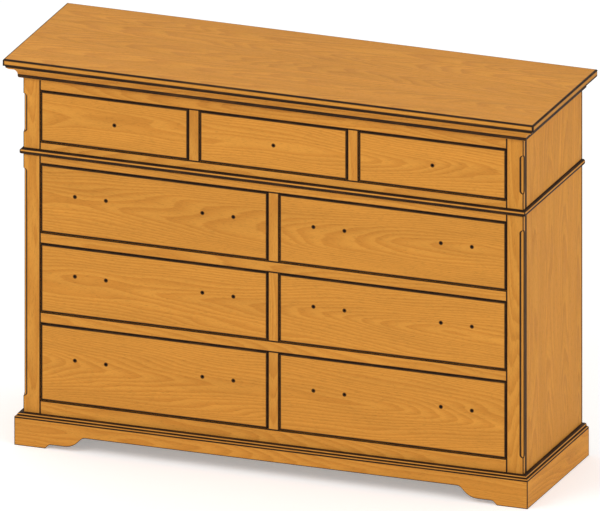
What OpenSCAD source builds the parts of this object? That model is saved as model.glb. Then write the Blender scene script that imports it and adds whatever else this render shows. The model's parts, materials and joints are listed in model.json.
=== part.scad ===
// Dresser with three small drawers over three rows of two, made of boards,
// rails, web frames and dovetailed drawers.
// X runs across the front, the front faces -Y and Z is up. The origin is on
// the floor below the middle of the top slab. Sizes are in millimetres.

/* [Case] */
// Height of the whole dresser; the bottom row takes what the other rows leave
dresser_h = 1103; // [1045:1:1140]
// Width of the case across its side panels
case_w = 1436; // [1300:1:1700]
// Depth of the case from the face frame to the back edge
case_d = 448; // [420:1:560]
// Thickness of the side panels
side_t = 19; // [16:0.5:25]
// Thickness of the back panel
back_t = 6; // [4:0.5:9]
// Width of the rabbet that holds the back panel
back_rabbet = 9; // [7:0.5:11]
// Height of the back panel's lower edge above the floor
back_lift = 60; // [20:1:80]

/* [Top slab] */
// Thickness of the top slab
top_t = 19; // [16:0.5:30]
// Overhang of the top slab at each side
top_side_over = 44; // [40:1:70]
// Overhang of the top slab at the front
top_front_over = 41; // [40:1:70]
// Radius of the slab's upper edges
top_round = 4; // [1:0.5:8]

/* [Face frame] */
// Thickness of the face frame
frame_t = 19; // [18:0.5:25]
// Width of the stiles
stile_w = 48; // [40:1:70]
// Width of the upright dividers between drawers
divider_w = 30; // [24:1:45]
// Height of the bottom rail's underside above the floor
bottom_rail_z = 60; // [50:1:62]
// Height of the bottom rail
bottom_rail_h = 68; // [60:1:90]
// Height of the two middle rails
mid_rail_h = 30; // [24:1:40]
// Height of the waist rail, which carries the bead
waist_rail_h = 61; // [55:1:80]
// Height of the top rail, up to the slab
top_rail_h = 72; // [68:1:95]
// Length of the rail tenons in the stiles
tenon_l = 25; // [15:1:30]
// Thickness of the tenons
tenon_t = 6.5; // [5:0.5:8]
// Shoulder above and below each rail tenon
tenon_shoulder = 4; // [2:0.5:8]
// Length of the stub tenons on the dividers
stub_l = 8; // [5:1:10]
// Glue room at the bottom of each mortise
mortise_room = 1; // [0.5:0.5:2]
// Glue line between the pieces of a web frame, a drawer box or the cleats
glue_line = 0.1; // [0.05:0.05:0.2]

/* [Stile chamfers] */
// Width of the chamfer on each face of the stile's outer corner
chamfer_c = 9; // [5:0.5:12]
// Radius of the curved ends of the chamfer
chamfer_end_r = 10; // [9:0.5:20]
// Distance from the waist rail up to the upper chamfer
upper_chamfer_foot = 23; // [10:1:35]
// Distance from the upper chamfer to the top rail
upper_chamfer_head = 13; // [10:1:35]
// Distance from the bottom rail up to the lower chamfer
lower_chamfer_foot = 8; // [5:1:35]
// Distance from the lower chamfer to the waist rail
lower_chamfer_head = 18; // [5:1:35]

/* [Drawer openings] */
// Height of the openings in the top row
top_row_h = 147; // [120:1:180]
// Height of the openings in the second row
second_row_h = 197; // [160:1:230]
// Height of the openings in the third row
third_row_h = 197; // [160:1:230]

/* [Drawers] */
// Gap round each drawer front
reveal = 2; // [1.5:0.25:3]
// Thickness of the drawer fronts
front_t = 19; // [18:0.5:25]
// Radius of the front edges of the drawer fronts
front_round = 3; // [1:0.5:5]
// Thickness of the drawer sides
box_side_t = 12; // [10:0.5:15]
// Thickness of the drawer backs
box_back_t = 12; // [10:0.5:15]
// Thickness of the drawer bottoms
bottom_t = 6; // [4:0.5:8]
// Height of the drawer bottom above the lower edge of the sides
bottom_lift = 12; // [10:0.5:15]
// Depth of the grooves that hold the drawer bottom
groove_d = 6; // [4:0.5:7]
// Clearance of the drawer bottom in its grooves
groove_clear = 0.3; // [0.2:0.1:0.5]
// Clearance between a drawer side and the runner below it
run_clear = 0.3; // [0.2:0.1:0.5]
// Clearance between a drawer side and the frame above it
kick_clear = 5; // [3:0.5:7]
// Step from the top of a drawer side down to the top of its back
back_drop = 5; // [2:0.5:7]
// Room behind a closed drawer
back_room = 30; // [20:1:45]
// Length of the pull-out travel of every drawer
travel = 300; // [200:5:310]

/* [Dovetails] */
// Wanted height of one tail with its pin
tail_pitch = 46; // [35:1:60]
// Share of the pitch that the tail takes at its wide end
tail_share = 0.68; // [0.55:0.01:0.75]
// Thickness of the drawer front left over the tails
front_lap = 6; // [4:0.5:8]
// Run of a tail's slope for a rise of one
tail_slope = 7; // [6:0.5:9]

/* [Pull holes] */
// Radius of the holes for the pulls
pull_hole_r = 2.5; // [1.5:0.25:3.5]
// Distance between the two holes of one pull
pull_centres = 89; // [64:1:128]
// Distance from the middle of a wide drawer to the middle of each pull
pull_x = 183; // [130:1:220]
// Height of the pulls above the middle of a wide drawer's opening
pull_up = 15; // [0:1:30]

/* [Web frames] */
// Thickness of the web frames that aren't level with a middle rail
web_t = 19; // [16:0.5:24]
// Width of the front and back rails of the web frames
web_rail_w = 60; // [45:1:70]
// Reach of each runner past the edge of its opening
runner_in = 30; // [28:1:45]
// Depth of the housings in the side panels
housing_d = 6; // [4:0.5:8]
// Length of the tongues at the ends of the runners
tongue_l = 8; // [5:1:12]
// Height of the drawer guides
guide_h = 38; // [20:1:60]
// How far the guides stand proud of the opening's edge
guide_proud = 1.5; // [1:0.1:1.5]

/* [Stops] */
// Height of the closing stops
stop_h = 6; // [4:0.5:8]
// Width of each closing stop
stop_w = 40; // [25:1:60]
// Depth of the closing stops, front to back
stop_d = 20; // [12:1:30]
// Clearance between a stop and what it catches
stop_clear = 0.3; // [0.2:0.1:0.5]
// Drop of the pull-out stops below the kickers
catch_h = 20; // [16:0.5:24]
// Width of the pull-out stops
catch_w = 12; // [10:1:12]
// Length of the pull-out stops, front to back
catch_l = 30; // [20:1:40]
// Clearance between a pull-out stop and the drawer side
catch_side_clear = 2; // [1:0.5:3]

/* [Crown moulding] */
// Height of the crown moulding
crown_h = 40; // [38:1:48]
// Projection of the crown at its top
crown_p = 38; // [37:0.5:39]
// Height of the flat edge above the crown's upper round
crown_lip = 2; // [1:0.5:4]
// Radius of the crown's upper round
crown_round_r = 7; // [6:0.5:8]
// Step from the face of the crown back to the hollow's upper end
crown_step = 5; // [3:0.5:6]
// Radius of the crown's hollow
crown_hollow_r = 21; // [16:0.5:22]
// Radius of the crown's lower round
crown_foot_r = 6; // [4:0.5:8]

/* [Waist bead] */
// Height of the waist bead
bead_h = 16; // [12:0.5:20]
// Projection of the waist bead
bead_p = 8; // [7:0.5:12]
// Radius of the bead's upper and lower edges
bead_r = 6; // [4:0.5:6]

/* [Plinth] */
// Height of the plinth boards
plinth_h = 91.5; // [85:0.5:110]
// Thickness of the plinth boards
plinth_t = 19; // [17:0.5:25]
// Radius of the lower round on the plinth's top edge
plinth_low_r = 5; // [3:0.5:6]
// Radius of the upper round on the plinth's top edge
plinth_high_r = 5; // [3:0.5:6]
// Width of the ledge between the two rounds
plinth_ledge = 1.5; // [1:0.5:2.5]
// Height of the step between the two rounds
plinth_step = 3; // [1:0.5:5]
// Length of the flat foot of the front plinth board
foot_w = 88; // [60:1:120]
// Height of the first step of the scroll, which is also its radius
scroll_step_h = 12; // [8:0.5:15]
// Length of the level run above the first step
scroll_run = 39; // [10:1:60]
// Radius of the scroll's long sweep
scroll_sweep_r = 52; // [40:1:55]
// Radius at the top of the scroll's sweep
scroll_top_r = 20; // [12:1:20]
// Height of the scrolled cut-out
scroll_h = 42.5; // [40:0.5:46]

/* [Cleats, blocks and screws] */
// Width of the cleats under the slab
cleat_w = 20; // [18:0.5:30]
// Height of the cleats under the slab
cleat_h = 20; // [18:0.5:22]
// Width of the corner blocks at the foot of the case
block_w = 45; // [30:1:50]
// Radius of the screw shanks
screw_r = 2; // [1.5:0.25:2.5]
// Length of the screws
screw_l = 32; // [30:1:34]
// Radius of the screw heads
screw_head_r = 4; // [3.5:0.25:4.5]
// Height of the screw heads
screw_head_h = 2.4; // [2:0.1:3]
// Width of the arms of the cross in a screw head
cross_w = 1; // [0.8:0.1:1.2]
// Clearance round a screw in its hole
screw_clear = 0.15; // [0.1:0.05:0.3]
// Number of screws along the front and the back of the slab
long_screws = 4; // [2:1:6]
// Number of screws along each side of the slab, plinth and back
short_screws = 3; // [2:1:5]

/* [Hidden] */
$fn = 48;
SHOW_WOOD = "#cc8c3c";
INNER_WOOD = "#dcbf8d";
STEEL = "#b9bbbd";
// Extra length that takes a cut clear past a face
past = 1;

// Levels of the rails and openings, from the floor up
case_h = dresser_h - top_t;
bottom_row_z = bottom_rail_z + bottom_rail_h;
rows_above_h = third_row_h + second_row_h + top_row_h;
rails_above_h = 2 * mid_rail_h + waist_rail_h + top_rail_h;
bottom_row_h = case_h - bottom_row_z - rows_above_h - rails_above_h;
lower_mid_z = bottom_row_z + bottom_row_h;
third_row_z = lower_mid_z + mid_rail_h;
upper_mid_z = third_row_z + third_row_h;
second_row_z = upper_mid_z + mid_rail_h;
waist_z = second_row_z + second_row_h;
top_row_z = waist_z + waist_rail_h;
top_rail_z = top_row_z + top_row_h;

// Faces of the case, front to back and across
slab_w = case_w + 2 * top_side_over;
slab_d = case_d + top_front_over;
face_y = top_front_over - slab_d / 2;
back_y = slab_d / 2;
frame_back_y = face_y + frame_t;
panel_y = back_y - back_t;
inner_x = case_w / 2 - side_t;
web_front_y = frame_back_y + web_rail_w;
web_rear_y = panel_y - web_rail_w;
frame_open_w = case_w - 2 * stile_w;
top_open_w = (frame_open_w - 2 * divider_w) / 3;
wide_open_w = (frame_open_w - divider_w) / 2;
top_divider_x = (top_open_w + divider_w) / 2;

// Each opening is [middle x, floor z, width, height]
TOP_LEFT = [-top_open_w - divider_w, top_row_z, top_open_w, top_row_h];
TOP_MIDDLE = [0, top_row_z, top_open_w, top_row_h];
TOP_RIGHT = [top_open_w + divider_w, top_row_z, top_open_w, top_row_h];
wide_x = (wide_open_w + divider_w) / 2;
SECOND_LEFT = [-wide_x, second_row_z, wide_open_w, second_row_h];
SECOND_RIGHT = [wide_x, second_row_z, wide_open_w, second_row_h];
THIRD_LEFT = [-wide_x, third_row_z, wide_open_w, third_row_h];
THIRD_RIGHT = [wide_x, third_row_z, wide_open_w, third_row_h];
BOTTOM_LEFT = [-wide_x, bottom_row_z, wide_open_w, bottom_row_h];
BOTTOM_RIGHT = [wide_x, bottom_row_z, wide_open_w, bottom_row_h];
TOP_ROW = [TOP_LEFT, TOP_MIDDLE, TOP_RIGHT];
WIDE_ROWS = [
    [SECOND_LEFT, SECOND_RIGHT],
    [THIRD_LEFT, THIRD_RIGHT],
    [BOTTOM_LEFT, BOTTOM_RIGHT]
];
OPENINGS = concat(TOP_ROW, WIDE_ROWS[0], WIDE_ROWS[1], WIDE_ROWS[2]);
TOP_DIVIDERS = [-top_divider_x, top_divider_x];
WIDE_DIVIDERS = [0];

// Each web frame is [floor z, thickness, x of the dividers it passes]
BOTTOM_WEB = [bottom_row_z - web_t, web_t, WIDE_DIVIDERS];
LOWER_WEB = [lower_mid_z, mid_rail_h, WIDE_DIVIDERS];
UPPER_WEB = [upper_mid_z, mid_rail_h, WIDE_DIVIDERS];
WAIST_KICKER_WEB = [waist_z, web_t, WIDE_DIVIDERS];
WAIST_RUNNER_WEB = [top_row_z - web_t, web_t, TOP_DIVIDERS];
TOP_WEB = [top_rail_z, web_t, TOP_DIVIDERS];
WEBS = [BOTTOM_WEB, LOWER_WEB, UPPER_WEB, WAIST_KICKER_WEB, WAIST_RUNNER_WEB, TOP_WEB];

// Drawer sizes that follow from the opening
drawer_back_y = panel_y - back_room;
box_back_y = drawer_back_y - box_back_t;
front_back_y = face_y + front_t;
function drawer_w(o) = o[2] - 2 * reveal;
function side_z(o) = o[1] + run_clear;
function side_top(o) = o[1] + o[3] - kick_clear;
function front_z(o) = o[1] + reveal;
function bottom_z(o) = side_z(o) + bottom_lift;
function back_z(o) = bottom_z(o) + bottom_t;
function back_top(o) = side_top(o) - back_drop;

// Pull-out stops catch the drawer back at the end of its travel
catch_back_y = box_back_y - travel - stop_clear;
catch_in = reveal + box_side_t + catch_side_clear;

// Curved end of a stopped chamfer
chamfer_deep = chamfer_c * sin(45);
chamfer_end = sqrt(pow(chamfer_end_r, 2) - pow(chamfer_end_r - chamfer_deep, 2));

// Height of the plinth's flat face, up to its lower round
plinth_ledge_h = plinth_h - plinth_high_r - plinth_step;
plinth_face_h = plinth_ledge_h - plinth_low_r;

// Scroll of the front plinth board, measured from its outer end
scroll_half = case_w / 2 + plinth_t;
step_x = foot_w + scroll_step_h * sqrt(2);
sweep_x = step_x + scroll_run;
sweep_end = [
    sweep_x + scroll_sweep_r * sin(45),
    scroll_step_h + scroll_sweep_r * (1 - cos(45))
];
arch_start_z = scroll_h - scroll_top_r * (1 - cos(45));
arch_start_x = sweep_end[0] + arch_start_z - sweep_end[1];
arch_x = arch_start_x + scroll_top_r * sin(45);

// Even spacing of a number of places between two ends
function spread(a, b, count) = [for (i = [0 : count - 1]) a + (b - a) * (i + 0.5) / count];

// Each screw is [place of its head, turn from pointing up]
UP = [0, 0, 0];
FORWARD = [90, 0, 0];
LEFTWARD = [0, -90, 0];
RIGHTWARD = [0, 90, 0];
cleat_z = case_h - cleat_h;
long_x = spread(-inner_x, inner_x, long_screws);
short_y = spread(frame_back_y, panel_y, short_screws);
SLAB_SCREWS = concat(
    [for (x = long_x, y = [frame_back_y, panel_y - cleat_w]) [[x, y + cleat_w / 2, cleat_z], UP]],
    [for (y = short_y, s = [-1, 1]) [[s * (inner_x - cleat_w / 2), y, cleat_z], UP]]
);
front_screw_z = (bottom_rail_z + plinth_face_h) / 2;
FRONT_SCREWS = [for (x = long_x) [[x, frame_back_y, front_screw_z], FORWARD]];
side_screw_z = plinth_h / 2;
LEFT_SCREWS = [for (y = short_y) [[-inner_x, y, side_screw_z], LEFTWARD]];
RIGHT_SCREWS = [for (y = short_y) [[inner_x, y, side_screw_z], RIGHTWARD]];
back_screw_x = inner_x + back_rabbet / 2;
back_screw_z = spread(back_lift, case_h, short_screws + 1);
BACK_SCREWS = concat(
    [for (z = back_screw_z, s = [-1, 1]) [[s * back_screw_x, back_y, z], FORWARD]],
    [for (x = long_x, w = [LOWER_WEB, UPPER_WEB, TOP_WEB]) [[x, back_y, w[0] + w[1] / 2], FORWARD]]
);
SCREWS = concat(SLAB_SCREWS, FRONT_SCREWS, LEFT_SCREWS, RIGHT_SCREWS, BACK_SCREWS);

// Box between two opposite corners
module block(low, high) {
    translate(low) cube(high - low);
}

// Outline of a board's end with two round corners at its lower edge
module two_round_outline(w, h, r) {
    translate([0, r]) square([w, h - r]);
    translate([r, 0]) square([w - 2 * r, h]);
    for (x = [r, w - r]) translate([x, r]) circle(r);
}

// Extrudes an outline drawn in Y and Z along X
module along_x(length) {
    rotate([90, 0, 90]) linear_extrude(length) children();
}

// Board with the arrises of its front face rounded, front at y = 0
module front_rounded_board(w, t, h, r) {
    intersection() {
        linear_extrude(h) two_round_outline(w, t, r);
        along_x(w) mirror([1, -1]) two_round_outline(h, t, r);
    }
}

// Screw with its head's face at the origin, pointing up
module screw() {
    difference() {
        union() {
            cylinder(h = screw_head_h, r1 = screw_head_r, r2 = screw_r);
            cylinder(h = screw_l, r = screw_r);
        }
        for (a = [0, 90]) rotate(a) {
            translate([-screw_r, -cross_w / 2, -past]) {
                cube([2 * screw_r, cross_w, past + screw_head_h / 2]);
            }
        }
    }
}

// Countersunk hole for a screw, a little longer than the screw
module screw_hole() {
    head_r = screw_head_r + screw_clear;
    shank_r = screw_r + screw_clear;
    cylinder(h = screw_head_h, r1 = head_r, r2 = shank_r);
    translate([0, 0, -past]) cylinder(h = past, r = head_r);
    cylinder(h = screw_l + past, r = shank_r);
}

// Holes for all the screws of a list
module screw_holes(list) {
    for (s = list) translate(s[0]) rotate(s[1]) screw_hole();
}

// Top slab with rounded upper edges
module top_slab() {
    color(SHOW_WOOD) difference() {
        translate([-slab_w / 2, -slab_d / 2, case_h]) intersection() {
            translate([0, slab_d, top_t]) rotate([90, 0, 0]) linear_extrude(slab_d) {
                mirror([0, 1]) two_round_outline(slab_w, top_t, top_round);
            }
            translate([0, 0, top_t]) along_x(slab_w) {
                mirror([0, 1]) two_round_outline(slab_d, top_t, top_round);
            }
        }
        screw_holes(SLAB_SCREWS);
    }
}

// Moulding across the front, mitred at both ends, from an outline of
// projection and height
module front_run(reach, height) {
    half = case_w / 2;
    intersection() {
        translate([-half - reach, face_y, 0]) mirror([0, 1, 0]) along_x(2 * (half + reach)) children();
        linear_extrude(height) polygon([
            [-half, face_y], [-half - reach, face_y - reach],
            [half + reach, face_y - reach], [half, face_y]
        ]);
    }
}

// Moulding along the right side, mitred at its front end
module right_run(reach, height) {
    half = case_w / 2;
    intersection() {
        translate([half, back_y, 0]) rotate([90, 0, 0]) linear_extrude(case_d + reach) children();
        linear_extrude(height) polygon([
            [half, face_y], [half + reach, face_y - reach],
            [half + reach, back_y], [half, back_y]
        ]);
    }
}

// Crown outline: a lip, a round, a step, a hollow and a foot round
module crown_outline() {
    foot_z = case_h - crown_h;
    round_z = case_h - crown_lip;
    hollow_x = crown_p - crown_step;
    hollow_top = round_z - crown_round_r - crown_lip / 2;
    hollow_z = hollow_top - crown_hollow_r;
    foot_p = hollow_x - crown_hollow_r;
    difference() {
        union() {
            translate([0, hollow_top]) square([hollow_x, case_h - hollow_top]);
            translate([0, round_z]) square([crown_p, crown_lip]);
            translate([0, foot_z + crown_foot_r]) {
                square([hollow_x, hollow_top - foot_z - crown_foot_r]);
            }
            translate([0, foot_z]) square([foot_p - crown_foot_r, crown_foot_r + past]);
            translate([foot_p - crown_foot_r, foot_z + crown_foot_r]) circle(crown_foot_r);
            intersection() {
                translate([crown_p - crown_round_r, round_z]) circle(crown_round_r);
                translate([0, hollow_top]) square([crown_p, round_z - hollow_top]);
            }
        }
        translate([hollow_x, hollow_z]) circle(crown_hollow_r);
        translate([foot_p, foot_z]) square([crown_p, hollow_z - foot_z]);
    }
}

// Front piece of the crown moulding
module crown_front() {
    color(SHOW_WOOD) front_run(crown_p, case_h) crown_outline();
}

// Right piece of the crown moulding
module crown_right() {
    color(SHOW_WOOD) right_run(crown_p, case_h) crown_outline();
}

// Left piece of the crown moulding
module crown_left() {
    mirror([1, 0, 0]) crown_right();
}

// Bead outline with a rounded upper and lower edge
module bead_outline() {
    low = waist_z + (waist_rail_h - bead_h) / 2;
    translate([0, low]) square([bead_p - bead_r, bead_h]);
    translate([0, low + bead_r]) square([bead_p, bead_h - 2 * bead_r]);
    for (z = [low + bead_r, low + bead_h - bead_r]) intersection() {
        translate([bead_p - bead_r, z]) circle(bead_r);
        translate([0, low]) square([bead_p, bead_h]);
    }
}

// Front piece of the waist bead
module waist_bead_front() {
    color(SHOW_WOOD) front_run(bead_p, case_h) bead_outline();
}

// Right piece of the waist bead
module waist_bead_right() {
    color(SHOW_WOOD) right_run(bead_p, case_h) bead_outline();
}

// Left piece of the waist bead
module waist_bead_left() {
    mirror([1, 0, 0]) waist_bead_right();
}

// Plinth outline with two rounds and a ledge at its top
module plinth_outline() {
    low_p = plinth_t - plinth_low_r;
    high_p = low_p - plinth_ledge;
    square([plinth_t, plinth_face_h]);
    square([low_p, plinth_ledge_h]);
    square([high_p, plinth_h - plinth_high_r]);
    square([high_p - plinth_high_r, plinth_h]);
    translate([low_p, plinth_face_h]) circle(plinth_low_r);
    intersection() {
        translate([high_p - plinth_high_r, plinth_h - plinth_high_r]) circle(plinth_high_r);
        translate([0, plinth_ledge_h]) square([plinth_t, plinth_h - plinth_ledge_h]);
    }
}

// Left half of the scrolled cut-out, measured from the board's outer end
module scroll_outline() {
    step_r = scroll_step_h;
    difference() {
        polygon([
            [foot_w - past, -past],
            [step_x - step_r * sin(45), step_r * cos(45)],
            [step_x, step_r],
            [sweep_x, step_r],
            sweep_end,
            [arch_start_x, arch_start_z],
            [arch_x, scroll_h],
            [scroll_half + past, scroll_h],
            [scroll_half + past, -past]
        ]);
        translate([sweep_x, step_r + scroll_sweep_r]) circle(scroll_sweep_r);
    }
    translate([step_x, 0]) circle(step_r);
    translate([arch_x, scroll_h - scroll_top_r]) circle(scroll_top_r);
}

// Front board of the plinth with its scrolled lower edge
module plinth_front() {
    color(SHOW_WOOD) difference() {
        front_run(plinth_t, plinth_h) plinth_outline();
        for (s = [0, 1]) mirror([s, 0, 0]) translate([-scroll_half, face_y + past, 0]) {
            rotate([90, 0, 0]) linear_extrude(plinth_t + 2 * past) scroll_outline();
        }
        screw_holes(FRONT_SCREWS);
    }
}

// Right board of the plinth
module plinth_right() {
    color(SHOW_WOOD) difference() {
        right_run(plinth_t, plinth_h) plinth_outline();
        screw_holes(RIGHT_SCREWS);
    }
}

// Left board of the plinth
module plinth_left() {
    color(SHOW_WOOD) mirror([1, 0, 0]) plinth_right();
}

// Tenon, or its mortise with room to spare, that reaches over x from a rail
module rail_tenon(z, h, room) {
    reach = frame_open_w / 2 + tenon_l + room;
    mid_y = face_y + frame_t / 2;
    low = [-reach, mid_y - tenon_t / 2, z + tenon_shoulder];
    high = [reach, mid_y + tenon_t / 2, z + h - tenon_shoulder];
    block(low, high);
}

// Rail of the face frame between the stiles, with a tenon at each end
module frame_rail(z, h) {
    block([-frame_open_w / 2, face_y, z], [frame_open_w / 2, frame_back_y, z + h]);
    rail_tenon(z, h, 0);
}

// Stub tenons of a divider, or their mortises with room to spare
module divider_stubs(x, z, h, room) {
    mid_y = face_y + frame_t / 2;
    half = divider_w / 2 - tenon_shoulder;
    low = [x - half, mid_y - tenon_t / 2, z - stub_l - room];
    high = [x + half, mid_y + tenon_t / 2, z + h + stub_l + room];
    block(low, high);
}

// Upright divider between two openings, with a stub tenon at each end
module divider(x, z, h) {
    block([x - divider_w / 2, face_y, z], [x + divider_w / 2, frame_back_y, z + h]);
    divider_stubs(x, z, h, 0);
}

// Mortises in the rails for all the dividers
module divider_mortises() {
    for (x = TOP_DIVIDERS) divider_stubs(x, top_row_z, top_row_h, mortise_room);
    for (row = WIDE_ROWS) divider_stubs(0, row[0][1], row[0][3], mortise_room);
}

// Top rail of the face frame
module top_rail() {
    color(SHOW_WOOD) difference() {
        frame_rail(top_rail_z, top_rail_h);
        divider_mortises();
    }
}

// Waist rail of the face frame
module waist_rail() {
    color(SHOW_WOOD) difference() {
        frame_rail(waist_z, waist_rail_h);
        divider_mortises();
    }
}

// Middle rail between the second and third rows
module upper_middle_rail() {
    color(SHOW_WOOD) difference() {
        frame_rail(upper_mid_z, mid_rail_h);
        divider_mortises();
    }
}

// Middle rail between the third and bottom rows
module lower_middle_rail() {
    color(SHOW_WOOD) difference() {
        frame_rail(lower_mid_z, mid_rail_h);
        divider_mortises();
    }
}

// Bottom rail of the face frame
module bottom_rail() {
    color(SHOW_WOOD) difference() {
        frame_rail(bottom_rail_z, bottom_rail_h);
        divider_mortises();
        screw_holes(FRONT_SCREWS);
    }
}

// Left divider of the top row
module top_divider_left() {
    color(SHOW_WOOD) divider(TOP_DIVIDERS[0], top_row_z, top_row_h);
}

// Right divider of the top row
module top_divider_right() {
    color(SHOW_WOOD) divider(TOP_DIVIDERS[1], top_row_z, top_row_h);
}

// The three dividers of the lower rows
module lower_dividers() {
    color(SHOW_WOOD) for (row = WIDE_ROWS) divider(0, row[0][1], row[0][3]);
}

// Cutter for a chamfer with curved ends between two heights
module stopped_chamfer(low, high) {
    reach = chamfer_end_r * 2;
    translate([case_w / 2, face_y, 0]) rotate(-45) rotate([90, 0, 0]) {
        linear_extrude(reach * 2, center = true) {
            translate([-chamfer_deep, low + chamfer_end]) square([reach, high - low - 2 * chamfer_end]);
            for (z = [low + chamfer_end, high - chamfer_end]) {
                translate([chamfer_end_r - chamfer_deep, z]) circle(chamfer_end_r);
            }
        }
    }
}

// Right stile of the face frame, with its mortises and stopped chamfers
module stile_right() {
    color(SHOW_WOOD) difference() {
        block([frame_open_w / 2, face_y, 0], [case_w / 2, frame_back_y, case_h]);
        rail_tenon(top_rail_z, top_rail_h, mortise_room);
        rail_tenon(waist_z, waist_rail_h, mortise_room);
        rail_tenon(upper_mid_z, mid_rail_h, mortise_room);
        rail_tenon(lower_mid_z, mid_rail_h, mortise_room);
        rail_tenon(bottom_rail_z, bottom_rail_h, mortise_room);
        stopped_chamfer(top_row_z + upper_chamfer_foot, top_rail_z - upper_chamfer_head);
        stopped_chamfer(bottom_row_z + lower_chamfer_foot, waist_z - lower_chamfer_head);
    }
}

// Left stile of the face frame
module stile_left() {
    mirror([1, 0, 0]) stile_right();
}

// Right side panel with housings for the web frames and a rabbet for the back
module side_right() {
    color(SHOW_WOOD) difference() {
        block([inner_x, frame_back_y, 0], [case_w / 2, back_y, case_h]);
        block([inner_x - past, panel_y, -past], [inner_x + back_rabbet, back_y + past, case_h + past]);
        for (w = WEBS) {
            low = [inner_x - past, frame_back_y - past, w[0]];
            high = [inner_x + housing_d, panel_y, w[0] + w[1]];
            block(low, high);
        }
        screw_holes(RIGHT_SCREWS);
        screw_holes(BACK_SCREWS);
    }
}

// Left side panel
module side_left() {
    mirror([1, 0, 0]) side_right();
}

// Back panel in the rabbets of the sides
module back_panel() {
    reach = inner_x + back_rabbet;
    color(INNER_WOOD) difference() {
        block([-reach, panel_y, back_lift], [reach, back_y, case_h]);
        screw_holes(BACK_SCREWS);
    }
}

// Front or back rail of a web frame
module web_rail(w, y) {
    reach = inner_x + housing_d;
    block([-reach, y, w[0]], [reach, y + web_rail_w, w[0] + w[1]]);
}

// Middle third of a web frame's thickness between two corners of its plan
module tongue(w, low, high, extra) {
    third = w[1] / 3;
    block(concat(low, w[0] + third - extra), concat(high, w[0] + 2 * third + extra));
}

// Runner of a web frame between two x, tongued into the rails
module web_runner(w, low_x, high_x) {
    front = web_front_y + glue_line;
    rear = web_rear_y - glue_line;
    block([low_x, front, w[0]], [high_x, rear, w[0] + w[1]]);
    tongue(w, [low_x, front - tongue_l], [high_x, rear + tongue_l], 0);
}

// Web frame: two rails, a runner at each side and one behind each divider
module web_frame(w) {
    edge = frame_open_w / 2 - runner_in;
    outer = inner_x + housing_d;
    half = divider_w / 2 + runner_in;
    color(INNER_WOOD) difference() {
        for (y = [frame_back_y, web_rear_y]) web_rail(w, y);
        low = [-outer - past, web_front_y - tongue_l];
        high = [outer + past, web_rear_y + tongue_l];
        tongue(w, low, high, glue_line);
        screw_holes(BACK_SCREWS);
    }
    color(INNER_WOOD) {
        web_runner(w, -outer, -edge);
        web_runner(w, edge, outer);
        for (x = w[2]) web_runner(w, x - half, x + half);
    }
}

// Guides that keep the drawers of one row straight
module row_guides(z, dividers) {
    edge = frame_open_w / 2 - guide_proud;
    half = divider_w / 2 + guide_proud;
    for (s = [0, 1]) mirror([s, 0, 0]) block([edge, frame_back_y, z], [inner_x, panel_y, z + guide_h]);
    for (x = dividers) block([x - half, frame_back_y, z], [x + half, panel_y, z + guide_h]);
}

// Drawer guides of all four rows
module drawer_guides() {
    color(INNER_WOOD) {
        row_guides(top_row_z, TOP_DIVIDERS);
        for (row = WIDE_ROWS) row_guides(row[0][1], WIDE_DIVIDERS);
    }
}

// Closing stops behind each drawer front and pull-out stops under each kicker
module drawer_stops() {
    close_y = front_back_y + stop_clear;
    color(INNER_WOOD) for (o = OPENINGS, s = [-1, 1]) {
        translate([o[0] + s * o[2] / 4 - stop_w / 2, close_y, o[1]]) cube([stop_w, stop_d, stop_h]);
        x = o[0] + s * (o[2] / 2 - catch_in - catch_w / 2);
        translate([x - catch_w / 2, catch_back_y - catch_l, o[1] + o[3] - catch_h]) {
            cube([catch_w, catch_l, catch_h]);
        }
    }
}

// Cleats under the slab and blocks in the lower corners of the case
module case_blocks() {
    color(INNER_WOOD) difference() {
        for (s = [0, 1]) mirror([s, 0, 0]) {
            block([inner_x - cleat_w, frame_back_y, cleat_z], [inner_x, panel_y, case_h]);
            for (y = [frame_back_y, panel_y - block_w]) {
                block([inner_x - block_w, y, 0], [inner_x, y + block_w, bottom_row_z - web_t]);
            }
        }
        screw_holes(SLAB_SCREWS);
    }
    long_cleat_x = inner_x - cleat_w - glue_line;
    color(INNER_WOOD) difference() {
        for (y = [frame_back_y, panel_y - cleat_w]) {
            block([-long_cleat_x, y, cleat_z], [long_cleat_x, y + cleat_w, case_h]);
        }
        screw_holes(SLAB_SCREWS);
    }
}

// All the wood screws of the case
module screws() {
    color(STEEL) for (s = SCREWS) translate(s[0]) rotate(s[1]) screw();
}

// Tails of one dovetailed corner, one above the other over a height: they
// widen along x from their root at zero, and may be grown to cut sockets
module tails(low, high, length, grown) {
    count = max(2, round((high - low) / tail_pitch));
    pitch = (high - low) / count;
    wide = pitch * tail_share / 2 + grown;
    root = wide - length / tail_slope;
    for (i = [0 : count - 1]) {
        mid = low + pitch * (i + 0.5);
        polygon([
            [-glue_line, mid - root], [0, mid - root], [length, mid - wide],
            [length, mid + wide], [0, mid + root], [-glue_line, mid + root]
        ]);
    }
}

// Tails that a drawer side sends forward into the drawer front
module front_tails(o, x) {
    length = front_t - front_lap;
    translate([x, front_back_y, 0]) along_x(box_side_t) mirror([1, 0]) {
        tails(front_z(o), side_top(o), length, 0);
    }
}

// Tails that a drawer side sends back through the drawer back
module back_tails(o, x, grown) {
    translate([x - grown, box_back_y, 0]) along_x(box_side_t + 2 * grown) {
        tails(back_z(o), back_top(o), box_back_t + grown, grown);
    }
}

// Left edges of the two sides of a drawer box
function side_xs(o) = [o[0] - drawer_w(o) / 2, o[0] + drawer_w(o) / 2 - box_side_t];

// Bottom of a drawer, held in the grooves of the front and sides
module drawer_bottom(o) {
    half = drawer_w(o) / 2 - box_side_t + groove_d - groove_clear;
    low = [o[0] - half, front_back_y - groove_d + groove_clear, bottom_z(o)];
    high = [o[0] + half, drawer_back_y, back_z(o)];
    color(INNER_WOOD) block(low, high);
}

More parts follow.
